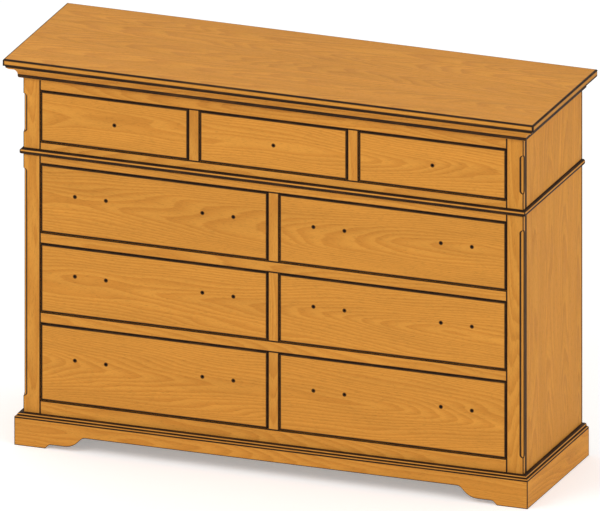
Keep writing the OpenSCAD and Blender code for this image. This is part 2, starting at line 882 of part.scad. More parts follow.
// Space cut by the grooves for the bottom of a drawer
module bottom_grooves(o) {
    half = drawer_w(o) / 2 - box_side_t + groove_d;
    low = [o[0] - half, front_back_y - groove_d, bottom_z(o)];
    high = [o[0] + half, drawer_back_y + past, back_z(o) + groove_clear];
    block(low, high);
}

// Places of the pull holes of a wide drawer, from the middle of its opening
WIDE_HOLES = [
    for (x = [-pull_x, pull_x], t = [-0.5, 0.5]) [x + t * pull_centres, pull_up]
];

// Centres of the pull holes of a drawer, as [x, z]
function pull_holes(o) = let (places = o[2] < wide_open_w ? [[0, 0]] : WIDE_HOLES)
    [for (p = places) [o[0] + p[0], o[1] + o[3] / 2 + p[1]]];

// Drawer front with rounded edges, pull holes, a groove and dovetail sockets
module drawer_front(o) {
    h = o[3] - 2 * reveal;
    color(SHOW_WOOD) difference() {
        translate([o[0] - drawer_w(o) / 2, face_y, front_z(o)]) {
            front_rounded_board(drawer_w(o), front_t, h, front_round);
        }
        for (x = side_xs(o)) front_tails(o, x);
        bottom_grooves(o);
        for (p = pull_holes(o)) translate([p[0], front_back_y + past, p[1]]) {
            rotate([90, 0, 0]) cylinder(h = front_t + 2 * past, r = pull_hole_r);
        }
    }
}

// Space that the back of a drawer takes between two x
module back_space(o, low_x, high_x, extra) {
    low = [low_x, box_back_y - extra, back_z(o) - extra];
    block(low, [high_x, drawer_back_y + extra, back_top(o) + extra]);
}

// Side of a drawer, with its tails at both ends and its groove
module drawer_side(o, x) {
    difference() {
        union() {
            difference() {
                block([x, front_back_y, side_z(o)], [x + box_side_t, drawer_back_y, side_top(o)]);
                back_space(o, x - past, x + box_side_t + past, glue_line);
            }
            front_tails(o, x);
            back_tails(o, x, 0);
        }
        bottom_grooves(o);
    }
}

// Two sides and the back of a drawer, dovetailed together
module drawer_box(o) {
    xs = side_xs(o);
    color(INNER_WOOD) for (x = xs) drawer_side(o, x);
    color(INNER_WOOD) difference() {
        back_space(o, xs[0], xs[1] + box_side_t, 0);
        for (x = xs) back_tails(o, x, glue_line);
    }
}

top_slab();
crown_front();
crown_left();
crown_right();
stile_left();
stile_right();
side_left();
side_right();
top_rail();
waist_rail();
upper_middle_rail();
lower_middle_rail();
bottom_rail();
top_divider_left();
top_divider_right();
lower_dividers();
waist_bead_front();
waist_bead_left();
waist_bead_right();
plinth_front();
plinth_left();
plinth_right();
back_panel();
web_frame(BOTTOM_WEB);  // bottom_web_frame
web_frame(LOWER_WEB);  // lower_web_frame
web_frame(UPPER_WEB);  // upper_web_frame
web_frame(WAIST_KICKER_WEB);  // waist_kicker_frame
web_frame(WAIST_RUNNER_WEB);  // waist_runner_frame
web_frame(TOP_WEB);  // top_kicker_frame
drawer_guides();
drawer_stops();
case_blocks();
screws();
drawer_front(TOP_LEFT);  // top_left_drawer_front
drawer_box(TOP_LEFT);  // top_left_drawer_box
drawer_bottom(TOP_LEFT);  // top_left_drawer_bottom
drawer_front(TOP_MIDDLE);  // top_middle_drawer_front
drawer_box(TOP_MIDDLE);  // top_middle_drawer_box
drawer_bottom(TOP_MIDDLE);  // top_middle_drawer_bottom
drawer_front(TOP_RIGHT);  // top_right_drawer_front
drawer_box(TOP_RIGHT);  // top_right_drawer_box
drawer_bottom(TOP_RIGHT);  // top_right_drawer_bottom
drawer_front(SECOND_LEFT);  // second_left_drawer_front
drawer_box(SECOND_LEFT);  // second_left_drawer_box
drawer_bottom(SECOND_LEFT);  // second_left_drawer_bottom
drawer_front(SECOND_RIGHT);  // second_right_drawer_front
drawer_box(SECOND_RIGHT);  // second_right_drawer_box
drawer_bottom(SECOND_RIGHT);  // second_right_drawer_bottom
drawer_front(THIRD_LEFT);  // third_left_drawer_front
drawer_box(THIRD_LEFT);  // third_left_drawer_box
drawer_bottom(THIRD_LEFT);  // third_left_drawer_bottom
drawer_front(THIRD_RIGHT);  // third_right_drawer_front
drawer_box(THIRD_RIGHT);  // third_right_drawer_box
drawer_bottom(THIRD_RIGHT);  // third_right_drawer_bottom
drawer_front(BOTTOM_LEFT);  // bottom_left_drawer_front
drawer_box(BOTTOM_LEFT);  // bottom_left_drawer_box
drawer_bottom(BOTTOM_LEFT);  // bottom_left_drawer_bottom
drawer_front(BOTTOM_RIGHT);  // bottom_right_drawer_front
drawer_box(BOTTOM_RIGHT);  // bottom_right_drawer_box
drawer_bottom(BOTTOM_RIGHT);  // bottom_right_drawer_bottom
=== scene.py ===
"""Dresser of nine drawers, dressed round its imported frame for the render.

Every board of the frame is recut with eased arrises, and gets solid wood whose
grain runs along it. Geometry Nodes run the mouldings and drive the screws.
Lengths are metres, X runs across the front, the front faces -Y and Z is up.
"""

from __future__ import annotations

import json
import logging
import math
import random
import zlib
from dataclasses import dataclass, replace
from enum import Enum
from typing import Iterable, Mapping

import bmesh
import bpy
from mathutils import Matrix, Vector

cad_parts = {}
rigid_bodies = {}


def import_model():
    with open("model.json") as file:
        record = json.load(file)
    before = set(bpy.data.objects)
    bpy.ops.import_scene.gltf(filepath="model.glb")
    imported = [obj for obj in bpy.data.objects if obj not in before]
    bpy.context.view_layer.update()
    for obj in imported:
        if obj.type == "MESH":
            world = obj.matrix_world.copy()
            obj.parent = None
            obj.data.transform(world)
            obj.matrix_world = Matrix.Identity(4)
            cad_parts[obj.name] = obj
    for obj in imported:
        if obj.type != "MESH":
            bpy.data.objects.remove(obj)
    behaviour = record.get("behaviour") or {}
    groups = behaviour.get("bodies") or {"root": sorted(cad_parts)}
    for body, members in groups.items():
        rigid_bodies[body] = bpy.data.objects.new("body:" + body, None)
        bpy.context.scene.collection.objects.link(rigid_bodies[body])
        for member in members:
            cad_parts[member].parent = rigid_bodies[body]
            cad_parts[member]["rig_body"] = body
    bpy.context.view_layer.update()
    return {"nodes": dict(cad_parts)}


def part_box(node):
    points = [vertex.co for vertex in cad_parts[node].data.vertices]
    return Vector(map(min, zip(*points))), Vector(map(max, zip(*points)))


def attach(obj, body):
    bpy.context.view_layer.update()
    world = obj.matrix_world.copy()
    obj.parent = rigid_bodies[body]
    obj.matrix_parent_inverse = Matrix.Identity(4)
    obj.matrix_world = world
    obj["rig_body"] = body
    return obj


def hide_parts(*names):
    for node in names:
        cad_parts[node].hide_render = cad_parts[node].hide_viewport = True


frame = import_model()

LOG = logging.getLogger("dresser")

Colour = tuple[float, float, float]
Span = tuple[float, float]
Outline = list[tuple[float, float]]
Key = int | str
Size = float | int

WHITE: Colour = (1.0, 1.0, 1.0)
# How far a point may lie from a face that it belongs to
TOUCH = 1e-5
# How far apart two points may lie that are one
WELD = 1e-6
# The least angle of an edge that is shaded sharp
SHARP_ANGLE = math.radians(40)


# Node trees written as Python


class Wire:
    """An output socket, on which Python's arithmetic adds Math nodes."""

    def __init__(self, net: Net, socket: bpy.types.NodeSocket) -> None:
        """Wraps a socket.

        Args:
            net: The tree that the socket is in.
            socket: The output socket.
        """
        self.net = net
        self.socket = socket

    def __add__(self, other: Number) -> Wire:
        """Adds two values."""
        return self.net.math("ADD", self, other)

    def __radd__(self, other: Number) -> Wire:
        """Adds two values."""
        return self.net.math("ADD", other, self)

    def __sub__(self, other: Number) -> Wire:
        """Takes a value away from this one."""
        return self.net.math("SUBTRACT", self, other)

    def __rsub__(self, other: Number) -> Wire:
        """Takes this value away from another."""
        return self.net.math("SUBTRACT", other, self)

    def __mul__(self, other: Number) -> Wire:
        """Multiplies two values."""
        return self.net.math("MULTIPLY", self, other)

    def __rmul__(self, other: Number) -> Wire:
        """Multiplies two values."""
        return self.net.math("MULTIPLY", other, self)

    def __truediv__(self, other: Number) -> Wire:
        """Divides this value by another."""
        return self.net.math("DIVIDE", self, other)

    def __rtruediv__(self, other: Number) -> Wire:
        """Divides another value by this one."""
        return self.net.math("DIVIDE", other, self)

    def __gt__(self, other: Number) -> Wire:
        """Gives 1 where this value is the greater one, and 0 elsewhere."""
        return self.net.math("GREATER_THAN", self, other)

    def __abs__(self) -> Wire:
        """Drops the value's sign."""
        return self.net.math("ABSOLUTE", self)


Number = Wire | float


class Parts:
    """A node's outputs, found by name or by number."""

    def __init__(self, net: Net, node: bpy.types.Node) -> None:
        """Wraps a node.

        Args:
            net: The tree that the node is in.
            node: The node.
        """
        self.net = net
        self.node = node

    def __getitem__(self, key: Key) -> Wire:
        """Gives one of the outputs."""
        return Wire(self.net, pick(self.node.outputs, key))


def pick(sockets: bpy.types.bpy_prop_collection, key: Key) -> bpy.types.NodeSocket:
    """Finds a socket of a node.

    Args:
        sockets: The node's inputs or outputs.
        key: The socket's number, or its name among those in use.

    Returns:
        The socket.
    """
    if isinstance(key, int):
        return sockets[key]
    return next(s for s in sockets if s.enabled and s.name == key)


@dataclass(frozen=True)
class Noise:
    """A noise, by how many times a metre it changes along each axis."""

    along: float
    across: float
    through: float
    layers: float = 2.0


class Net:
    """A node tree whose nodes are added by calls and expressions."""

    def __init__(self, tree: bpy.types.NodeTree) -> None:
        """Wraps a node tree.

        Args:
            tree: The tree, which may be empty.
        """
        self.tree = tree

    def add(
        self, kind: str, inputs: Mapping[Key, object] | None = None, **settings: object
    ) -> Parts:
        """Adds a node.

        Args:
            kind: The node's type.
            inputs: The value or the wire of each socket, or a list of wires.
            **settings: The node's own properties, which are set first, or the
                stops of its curve.

        Returns:
            The node's outputs.
        """
        node = self.tree.nodes.new(kind)
        for name, value in settings.items():
            if name == "stops":
                self.bend(node.mapping, value)
            else:
                setattr(node, name, value)
        for key, value in (inputs or {}).items():
            socket = pick(node.inputs, key)
            for item in value if isinstance(value, list) else [value]:
                if isinstance(item, Wire):
                    self.tree.links.new(item.socket, socket)
                elif socket.type == "RGBA":
                    socket.default_value = (*item, 1.0)
                else:
                    socket.default_value = item
        return Parts(self, node)

    @staticmethod
    def bend(mapping: bpy.types.CurveMapping, stops: Outline) -> None:
        """Draws a curve of straight lines.

        Args:
            mapping: The node's curve.
            stops: The points between the lines, from 0 to 1.
        """
        points = mapping.curves[0].points
        while len(points) < len(stops):
            points.new(0.5, 0.5)
        for point, stop in zip(points, stops):
            point.location = stop
            point.handle_type = "VECTOR"
        mapping.update()

    def math(self, operation: str, *values: Number) -> Wire:
        """Adds a Math node for an operation on values."""
        return self.add("ShaderNodeMath", dict(enumerate(values)), operation=operation)[0]

    def vector(self, operation: str, *values: object) -> Wire:
        """Adds a Vector Math node for an operation on vectors."""
        inputs = dict(enumerate(values))
        return self.add("ShaderNodeVectorMath", inputs, operation=operation)["Vector"]

    def scaled(self, colour: object, factor: Number) -> Wire:
        """Makes a colour or a vector longer by a factor."""
        inputs = {0: colour, "Scale": factor}
        return self.add("ShaderNodeVectorMath", inputs, operation="SCALE")["Vector"]

    def joined(self, x: Number = 0.0, y: Number = 0.0, z: Number = 0.0) -> Wire:
        """Joins three values to a vector."""
        return self.add("ShaderNodeCombineXYZ", {0: x, 1: y, 2: z})[0]

    def split(self, vector: Wire) -> tuple[Wire, Wire, Wire]:
        """Splits a vector into its three values."""
        parts = self.add("ShaderNodeSeparateXYZ", {0: vector})
        return parts[0], parts[1], parts[2]

    def length(self, a: Wire, b: Wire) -> Wire:
        """Gives the length of the slope over two sides at right angles."""
        return self.math("SQRT", a * a + b * b)

    def step(self, value: Number, low: float, high: float) -> Wire:
        """Rises smoothly from 0 at a low value to 1 at a high one."""
        inputs = {"Value": value, "From Min": low, "From Max": high}
        return self.add("ShaderNodeMapRange", inputs, interpolation_type="SMOOTHSTEP")[0]

    def noise(self, vector: Wire, pattern: Noise) -> Parts:
        """Adds a noise texture.

        Args:
            vector: The place that the noise is read at.
            pattern: How it changes.

        Returns:
            The node's outputs: a value and a colour.
        """
        stretch = (pattern.along, pattern.across, pattern.through)
        place = self.vector("MULTIPLY", vector, stretch)
        inputs = {"Vector": place, "Scale": 1.0, "Detail": pattern.layers}
        return self.add("ShaderNodeTexNoise", inputs)

    def mix(self, factor: Number, a: object, b: object) -> Wire:
        """Mixes two colours by a factor."""
        inputs = {"Factor": factor, "A": a, "B": b}
        return self.add("ShaderNodeMix", inputs, data_type="RGBA")["Result"]


class MaterialNet(Net):
    """The shader tree of a new material."""

    def __init__(self, name: str) -> None:
        """Makes the material.

        Args:
            name: The material's name.
        """
        self.material = bpy.data.materials.new(name)
        self.material.use_nodes = True
        super().__init__(self.material.node_tree)
        self.tree.nodes.clear()

    def place(self) -> Wire:
        """Gives the place that is shaded, in the dresser's frame."""
        return self.add("ShaderNodeTexCoord")["Object"]

    def bump(self, height: Wire, strength: float, distance: float) -> Wire:
        """Gives the surface's normal over small hills."""
        inputs = {"Strength": strength, "Distance": distance, "Height": height}
        return self.add("ShaderNodeBump", inputs)["Normal"]

    def finish(self, surface: Wire) -> bpy.types.Material:
        """Gives the material its surface, and returns it."""
        self.add("ShaderNodeOutputMaterial", {"Surface": surface})
        return self.material

    def coated(self, **values: object) -> bpy.types.Material:
        """Finishes the material with a Principled shader.

        Args:
            **values: The shader's sockets, with underscores for spaces.

        Returns:
            The material.
        """
        inputs = {key.replace("_", " "): value for key, value in values.items()}
        return self.finish(self.add("ShaderNodeBsdfPrincipled", inputs)["BSDF"])


class ShapeNet(Net):
    """A Geometry Nodes tree with named inputs."""

    KINDS = {float: "NodeSocketFloat", int: "NodeSocketInt"}

    def __init__(self, name: str, sizes: Mapping[str, Size]) -> None:
        """Makes the tree.

        Args:
            name: The tree's name.
            sizes: The names of its inputs, with a value of each.
        """
        super().__init__(bpy.data.node_groups.new(name, "GeometryNodeTree"))
        self.socket("Geometry", "NodeSocketGeometry")
        self.socket("Geometry", "NodeSocketGeometry", "OUTPUT")
        kinds = {key: self.KINDS[type(value)] for key, value in sizes.items()}
        kinds["Material"] = "NodeSocketMaterial"
        self.idents = {key: self.socket(key, kind) for key, kind in kinds.items()}
        self.inputs = self.add("NodeGroupInput")

    def socket(self, name: str, kind: str, side: str = "INPUT") -> str:
        """Gives the tree a socket, and returns its identifier."""
        sockets = self.tree.interface
        return sockets.new_socket(name, in_out=side, socket_type=kind).identifier

    def lifted(self, mesh: Wire, height: Number) -> Wire:
        """Moves a mesh along Z."""
        inputs = {"Geometry": mesh, "Translation": self.joined(z=height)}
        return self.add("GeometryNodeTransform", inputs)["Geometry"]

    def finish(self, geometry: Wire) -> None:
        """Ends the tree in real, dressed geometry.

        Args:
            geometry: What the tree has made.
        """
        real = self.add("GeometryNodeRealizeInstances", {"Geometry": geometry})
        inputs = {"Geometry": real["Geometry"], "Material": self.inputs["Material"]}
        dressed = self.add("GeometryNodeSetMaterial", inputs)
        self.add("NodeGroupOutput", {"Geometry": dressed["Geometry"]})

    def grow(
        self,
        name: str,
        seed_mesh: bpy.types.Mesh,
        sizes: Mapping[str, Size],
        material: bpy.types.Material,
    ) -> bpy.types.Mesh:
        """Runs the tree on a mesh.

        Args:
            name: The name of the mesh that comes out.
            seed_mesh: The mesh that goes in.
            sizes: The value of each named input.
            material: The material of the result.

        Returns:
            A plain mesh.
        """
        carrier = linked(f"{name}_carrier", seed_mesh)
        modifier = carrier.modifiers.new("Grow", "NODES")
        modifier.node_group = self.tree
        for key, value in {**sizes, "Material": material}.items():
            modifier[self.idents[key]] = value
        mesh = baked(carrier, name)
        bpy.data.objects.remove(carrier)
        return mesh


def linked(name: str, data: bpy.types.ID) -> bpy.types.Object:
    """Puts an object in the scene.

    Args:
        name: The object's name.
        data: Its mesh, light or camera.

    Returns:
        The object.
    """
    thing = bpy.data.objects.new(name, data)
    bpy.context.scene.collection.objects.link(thing)
    return thing


def baked(thing: bpy.types.Object, name: str) -> bpy.types.Mesh:
    """Turns an object with its modifiers into a plain mesh.

    Args:
        thing: The object.
        name: The name of the new mesh.

    Returns:
        The mesh.
    """
    graph = bpy.context.evaluated_depsgraph_get()
    mesh = bpy.data.meshes.new_from_object(
        thing.evaluated_get(graph), preserve_all_data_layers=True, depsgraph=graph
    )
    mesh.name = name
    return mesh


# Boards


class Grain(Enum):
    """The axis that a board's grain runs along."""

    ACROSS = 0
    BACKWARD = 1
    UPRIGHT = 2


@dataclass(frozen=True)
class Spot:
    """The place on a board that its material shades, in the dresser's frame."""

    net: Net
    x: Wire
    y: Wire
    z: Wire
    board: Board


class GlazeAndShadeLine:
    """Something on a board along which dark glaze stays, or along which shade is painted."""

    def gap(self, spot: Spot) -> Wire:
        """Measures how far a spot is from the line."""
        raise NotImplementedError


@dataclass(frozen=True)
class Level(GlazeAndShadeLine):
    """A line at one height, where a moulding turns."""

    height: float

    def gap(self, spot: Spot) -> Wire:
        """Measures how far a spot is from the height."""
        return abs(spot.z - self.height)


@dataclass(frozen=True)
class BroadJoint(GlazeAndShadeLine):
    """An upright joint or arris on the case's outside, where glaze lies broad."""

    y: float
    reach: float = 0.0045

    def gap(self, spot: Spot) -> Wire:
        """Measures how far a spot is from the joint's broad line."""
        return abs(spot.y - self.y) - self.reach


@dataclass(frozen=True)
class PullHoles(GlazeAndShadeLine):
    """The holes drilled through a drawer front for its pulls, painted dark as shade in and round
    each hole.

    With no distance aside and none between centres there is a single hole.
    """

    x: float
    z: float
    aside: float = 0.0
    centres: float = 0.0
    shaded_r: float = 0.0008

    def gap(self, spot: Spot) -> Wire:
        """Measures how far a spot is from the painted shade in the nearest hole."""
        across = abs(abs(spot.x - self.x) - self.aside) - self.centres / 2
        return spot.net.length(across, spot.z - self.z) - self.shaded_r


@dataclass(frozen=True)
class StoppedChamfer(GlazeAndShadeLine):
    """A chamfer on an upright corner, which ends in a curve above and below."""

    low: float
    high: float
    width: float = 0.009
    end_r: float = 0.010

    def gap(self, spot: Spot) -> Wire:
        """Measures how far a spot is from the chamfer's edges.

        Args:
            spot: The spot.

        Returns:
            The distance.
        """
        net = spot.net
        flat = self.end_r - self.width * math.sin(math.radians(45))
        reach = math.sqrt(self.end_r**2 - flat**2)
        straight = (self.high - self.low) / 2 - reach
        past = net.math("MAXIMUM", abs(spot.z - (self.low + self.high) / 2) - straight, 0.0)
        fall = net.math("MAXIMUM", self.end_r**2 - past * past, flat**2)
        width = (net.math("SQRT", fall) - flat) * math.sqrt(2)
        corner_x, corner_y = spot.board.corner
        aside, inward = abs(spot.x - corner_x), abs(spot.y - corner_y)
        edge = net.math("MINIMUM", aside, inward)
        return net.math("MAXIMUM", abs(aside + inward - width), edge)


@dataclass(frozen=True)
class ShapedFoot(GlazeAndShadeLine):
    """The front arris of a shaped lower edge, the same left and right."""

    stops: tuple[tuple[float, float], ...]

    def gap(self, spot: Spot) -> Wire:
        """Measures how far a spot is above the edge or behind it.

        Args:
            spot: The spot.

        Returns:
            The distance.
        """
        reach, rise = (max(values) for values in zip(*self.stops))
        stops = [(x / reach, z / rise) for x, z in self.stops]
        inputs = {"Value": abs(spot.x) / reach}
        edge = spot.net.add("ShaderNodeFloatCurve", inputs, stops=stops)[0] * rise
        return spot.net.math("MAXIMUM", spot.z - edge, spot.y - spot.board.low.y)


@dataclass(frozen=True)
class Board:
    """One board: where it lies, which way its grain runs and how it was sawn.

    Its own frame has X along the grain, Y across its width and Z through its
    thickness, from its middle.
    """

    name: str
    low: Vector
    high: Vector
    staves: int = 1
    ends: float = 0.0
    lines: tuple[GlazeAndShadeLine, ...] = ()
    log: str = ""
    middle: Vector | None = None

    @property
    def corner(self) -> tuple[float, float]:
        """The X and Y of the board's front corner on the case's outside."""
        return (self.high.x if self.low.x > 0 else self.low.x), self.low.y

    @property
    def order(self) -> list[int]:
        """The axes from the board's longest side to its thinnest."""
        size = self.high - self.low
        return sorted(range(3), key=lambda axis: -size[axis])

    @property
    def grain(self) -> Grain:
        """The axis that the grain runs along, which is the longest."""
        return Grain(self.order[0])

    @property
    def turn(self) -> Matrix:
        """The turn from the dresser's frame to the board's own.

        Returns:
            The turn, which keeps a right hand a right hand.
        """
        rows = [Vector([float(i == axis) for i in range(3)]) for axis in self.order]
        if Matrix(rows).determinant() < 0:
            rows[1].negate()
        return Matrix(rows)

    @property
    def centre(self) -> Vector:
        """The middle of the board, or of the log that it shares."""
        return self.middle or (self.low + self.high) / 2

    @property
    def offset(self) -> Vector:
        """Where the board's own middle lies in its frame."""
        return self.turn @ ((self.low + self.high) / 2 - self.centre)

    @property
    def half(self) -> Vector:
        """Half the board's sides, longest first, without its tenons."""
        long, wide, thin = ((self.high - self.low)[axis] / 2 for axis in self.order)
        return Vector((long - self.ends, wide, thin))

    @property
    def draw(self) -> random.Random:
        """Random draws that are the same for all boards of one log."""
        return random.Random(zlib.crc32((self.log or self.name).encode()))


# Finishes


@dataclass(frozen=True)
class Cut:
    """Where a place lies in the log that its board, or its stave, was sawn from.

    Attributes:
        x: How far it lies along the board.
        y: How far it lies across the board or the stave.
        z: How far it lies through the board.
        grain: The place, slid along the log.
        deep: How far the pith lies behind the board's middle.
        shade: How light or dark this log is.
        seam: 1 on a glued joint between staves, and 0 elsewhere.
    """

    x: Wire
    y: Wire
    z: Wire
    grain: Wire
    deep: Number
    shade: Number
    seam: Number


@dataclass(frozen=True)
class WoodFinish:
    """Solid wood with growth rings round a pith, pores and a clear coat.

    A span says from where to where something fades in. A plain number is a
    length, or how much a pattern tells in the colour, the sheen or the bump.
    """

    name: str
    slot: str
    early: Colour
    late: Colour
    ring: float = 0.0042
    ring_rise: Span = (0.15, 0.88)
    ring_fall: Span = (0.90, 1.0)
    figure: float = 0.55
    tone: float = 0.07
    pores: float = 0.25
    pore_noise: Noise = Noise(70, 1300, 1300, 1.0)
    pore_edge: Span = (0.58, 0.70)
    swirl: float = 0.26
    swirl_noise: Noise = Noise(1.7, 19, 19, 3.0)
    shimmer: float = 0.16
    shimmer_noise: Noise = Noise(7, 60, 60)
    rubbed_noise: Noise = Noise(14, 40, 40, 3.0)
    rubbed_edge: Span = (0.30, 0.55)
    log_slide: float = 4.0
    pith: Span = (0.045, 0.110)
    pith_lean: Span = (0.018, 0.045)
    pith_aside: float = 0.02
    warp_across: float = 0.07
    warp_through: float = 0.05
    warp_noise: Noise = Noise(1.3, 8, 8)
    wobble: float = 0.0016
    wobble_noise: Noise = Noise(9, 150, 150)
    years: float = 2.5
    years_noise: Noise = Noise(45, 1, 1, 1.0)
    stave_slide: float = 7.0
    stave_aside: float = 0.04
    stave_pith: float = 0.07
    seam: float = 0.35
    seam_width: float = 0.0006
    seam_ends: Span = (0.001, 0.003)
    roughness: float = 0.64
    rubbed_rough: float = 0.16
    pore_rough: float = 0.12
    ring_rough: float = 0.05
    gloss: float = 0.12
    bump: float = 0.22
    bump_height: float = 0.0004
    ring_height: float = 0.2
    # The dark glaze along arrises and lines. Round each drawer front, in the pull holes and beside
    # the waist bead it is painted shade.
    glaze_and_shade: Colour = (0.010, 0.005, 0.003)
    glaze_and_shade_depth: float = 0.0
    glaze_and_shade_width: float = 0.0030
    glaze_and_shade_least: float = 0.95
    end_depth: float = 0.25
    end_reach: float = 0.0022

    def dress(self, board: Board) -> bpy.types.Material:
        """Makes the material of one board.

        Args:
            board: The board.

        Returns:
            The material.
        """
        net = MaterialNet(f"{self.name}_{board.name}")
        place = net.place()
        own = self.own_place(net, place, board)
        draw = board.draw
        cut = self.saw(net, own, board, draw)
        rings = self.rings(net, cut, draw)
        pores = net.step(net.noise(cut.grain, self.pore_noise)[0], *self.pore_edge)
        swirl = net.noise(cut.grain, self.swirl_noise)[0] - 0.5
        shimmer = net.noise(cut.grain, self.shimmer_noise)[0] - 0.5
        level = 1 + cut.shade * self.tone + swirl * self.swirl + shimmer * self.shimmer
        level = level * (1 - pores * self.pores) * (1 - cut.seam * self.seam)
        level = level * (1 - self.end_mask(net, cut.x, board) * self.end_depth)
        colour = net.scaled(net.mix(rings * self.figure, self.early, self.late), level)
        rubbed = net.noise(cut.grain, self.rubbed_noise)[0]
        # Darkens the wood with glaze, and with painted shade round the drawer fronts, in the pull
        # holes and beside the waist bead.
        if self.glaze_and_shade_depth:
            kept = net.step(rubbed, *self.rubbed_edge) * (1 - self.glaze_and_shade_least)
            lines = self.glaze_and_shade_mask(net, own, place, board)
            amount = lines * (self.glaze_and_shade_least + kept) * self.glaze_and_shade_depth
            colour = net.mix(amount, colour, self.glaze_and_shade)
        rough = self.roughness + (rubbed - 0.5) * self.rubbed_rough
        return net.coated(
            Base_Color=colour,
            Roughness=rough + pores * self.pore_rough - rings * self.ring_rough,
            Specular_IOR_Level=self.gloss,
            Normal=net.bump(rings * self.ring_height - pores, self.bump, self.bump_height),
        )

    @staticmethod
    def own_place(net: Net, place: Wire, board: Board) -> Wire:
        """Turns a place to the board's own frame, from its middle."""
        location, rotation = tuple(-(board.turn @ board.centre)), board.turn.to_euler()
        return net.add(
            "ShaderNodeMapping",
            {"Vector": place, "Location": location, "Rotation": rotation},
            vector_type="POINT",
        )["Vector"]

    def saw(self, net: Net, own: Wire, board: Board, draw: random.Random) -> Cut:
        """Saws the board, or each of its staves, from its log.

        Args:
            net: The material's tree.
            own: The place in the board's own frame.
            board: The board.
            draw: The board's random draws.

        Returns:
            Where the place lies in the log.
        """
        x, y, z = net.split(own)
        slide = x + draw.uniform(-self.log_slide, self.log_slide)
        shade: Number = draw.uniform(-0.5, 0.5)
        deep: Number = draw.uniform(*self.pith)
        seam: Number = 0.0
        if board.staves > 1:
            width = 2 * board.half.y / board.staves
            count = (y + board.half.y) / width
            index = net.math("FLOOR", count)
            luck = net.add("ShaderNodeTexWhiteNoise", {"Vector": net.joined(index)})
            chance_a, chance_b, chance_c = net.split(luck["Color"])
            part = count - index
            inside = net.step(board.half.y - abs(y), *self.seam_ends)
            beside = net.step(0.5 - abs(part - 0.5), 0.0, self.seam_width / width)
            seam = (1 - beside) * inside
            y = (part - 0.5) * width + (chance_c - 0.5) * self.stave_aside
            slide = slide + chance_a * self.stave_slide
            shade = luck["Value"] - 0.5
            deep = self.pith[0] + chance_b * self.stave_pith
        return Cut(x, y, z, net.joined(slide, y, z), deep, shade, seam)

    def rings(self, net: Net, cut: Cut, draw: random.Random) -> Wire:
        """Cuts through the growth rings round the pith below the board.

        Args:
            net: The material's tree.
            cut: Where the place lies in the log.
            draw: The board's random draws.

        Returns:
            The late wood of each ring, from 0 to 1.
        """
        lean = draw.choice((-1, 1)) * draw.uniform(*self.pith_lean)
        aside = draw.uniform(-self.pith_aside, self.pith_aside)
        warp_y, warp_z, _ = net.split(net.noise(cut.grain, self.warp_noise)["Color"])
        from_pith_y = cut.y + aside + (warp_y - 0.5) * self.warp_across
        depth = cut.z + cut.deep + cut.x * lean
        from_pith_z = depth + (warp_z - 0.5) * self.warp_through
        radius = net.length(from_pith_y, from_pith_z)
        wobble = (net.noise(cut.grain, self.wobble_noise)[0] - 0.5) * self.wobble
        years = net.noise(net.joined(radius), self.years_noise)[0] * self.years
        return self.late_wood(net, (radius + wobble) / self.ring + years)

    def late_wood(self, net: Net, count: Wire) -> Wire:
        """Gives the late wood, which rises slowly over each ring and falls fast."""
        turn = net.math("FRACT", count)
        return net.step(turn, *self.ring_rise) * (1 - net.step(turn, *self.ring_fall))

    def end_mask(self, net: Net, x: Wire, board: Board) -> Wire:
        """Marks the end grain, which drinks the stain."""
        return 1 - net.step(board.half.x - abs(x - board.offset.x), 0.0, self.end_reach)

    def glaze_and_shade_mask(self, net: Net, own: Wire, place: Wire, board: Board) -> Wire:
        """Marks where glaze stays, or shade is painted: along the board's arrises and its lines.

        Args:
            net: The material's tree.
            own: The place in the board's own frame.
            place: The place in the dresser's frame.
            board: The board.

        Returns:
            1 on the line, falling to 0 beside it.
        """
        sides = zip(net.split(own), board.half, board.offset)
        first, second, third = (half - abs(value - offset) for value, half, offset in sides)
        low = net.math("MINIMUM", first, second)
        high = net.math("MAXIMUM", first, second)
        near = net.math("MAXIMUM", low, net.math("MINIMUM", high, third))
        spot = Spot(net, *net.split(place), board)
        for line in board.lines:
            near = net.math("MINIMUM", near, line.gap(spot))
        return 1 - net.step(near, self.glaze_and_shade_width / 2, self.glaze_and_shade_width)


@dataclass(frozen=True)
class PlyFinish(WoodFinish):
    """Thin plywood with a peeled face and plies at its edges.

    The slip keeps the faces of the sheet from counting as one more ply.
    """

    ring_rise: Span = (0.10, 0.80)
    ring_fall: Span = (0.84, 1.0)
    peel: float = 16.0
    peel_noise: Noise = Noise(0.8, 5.0, 0.4)
    peel_start: float = 10.0
    thickness: float = 0.006
    plies: int = 5
    slip: float = 0.999
    crossed: float = 1.6

    def rings(self, net: Net, cut: Cut, draw: random.Random) -> Wire:
        """Peels the face from a turning log, which gives it broad waves.

        Args:
            net: The material's tree.
            cut: Where the place lies in the sheet.
            draw: The sheet's random draws, which are not used.

        Returns:
            The late wood of the face, or the end grain of every other ply.
        """
        hills = net.noise(cut.grain, self.peel_noise)[0]
        face = self.late_wood(net, hills * self.peel + cut.deep * self.peel_start)
        count = abs(cut.z) * self.slip / (self.thickness / self.plies)
        ply = net.math("FLOOR", count + 0.5)
        return net.math("MAXIMUM", face, net.math("MODULO", ply, 2.0) * self.crossed)


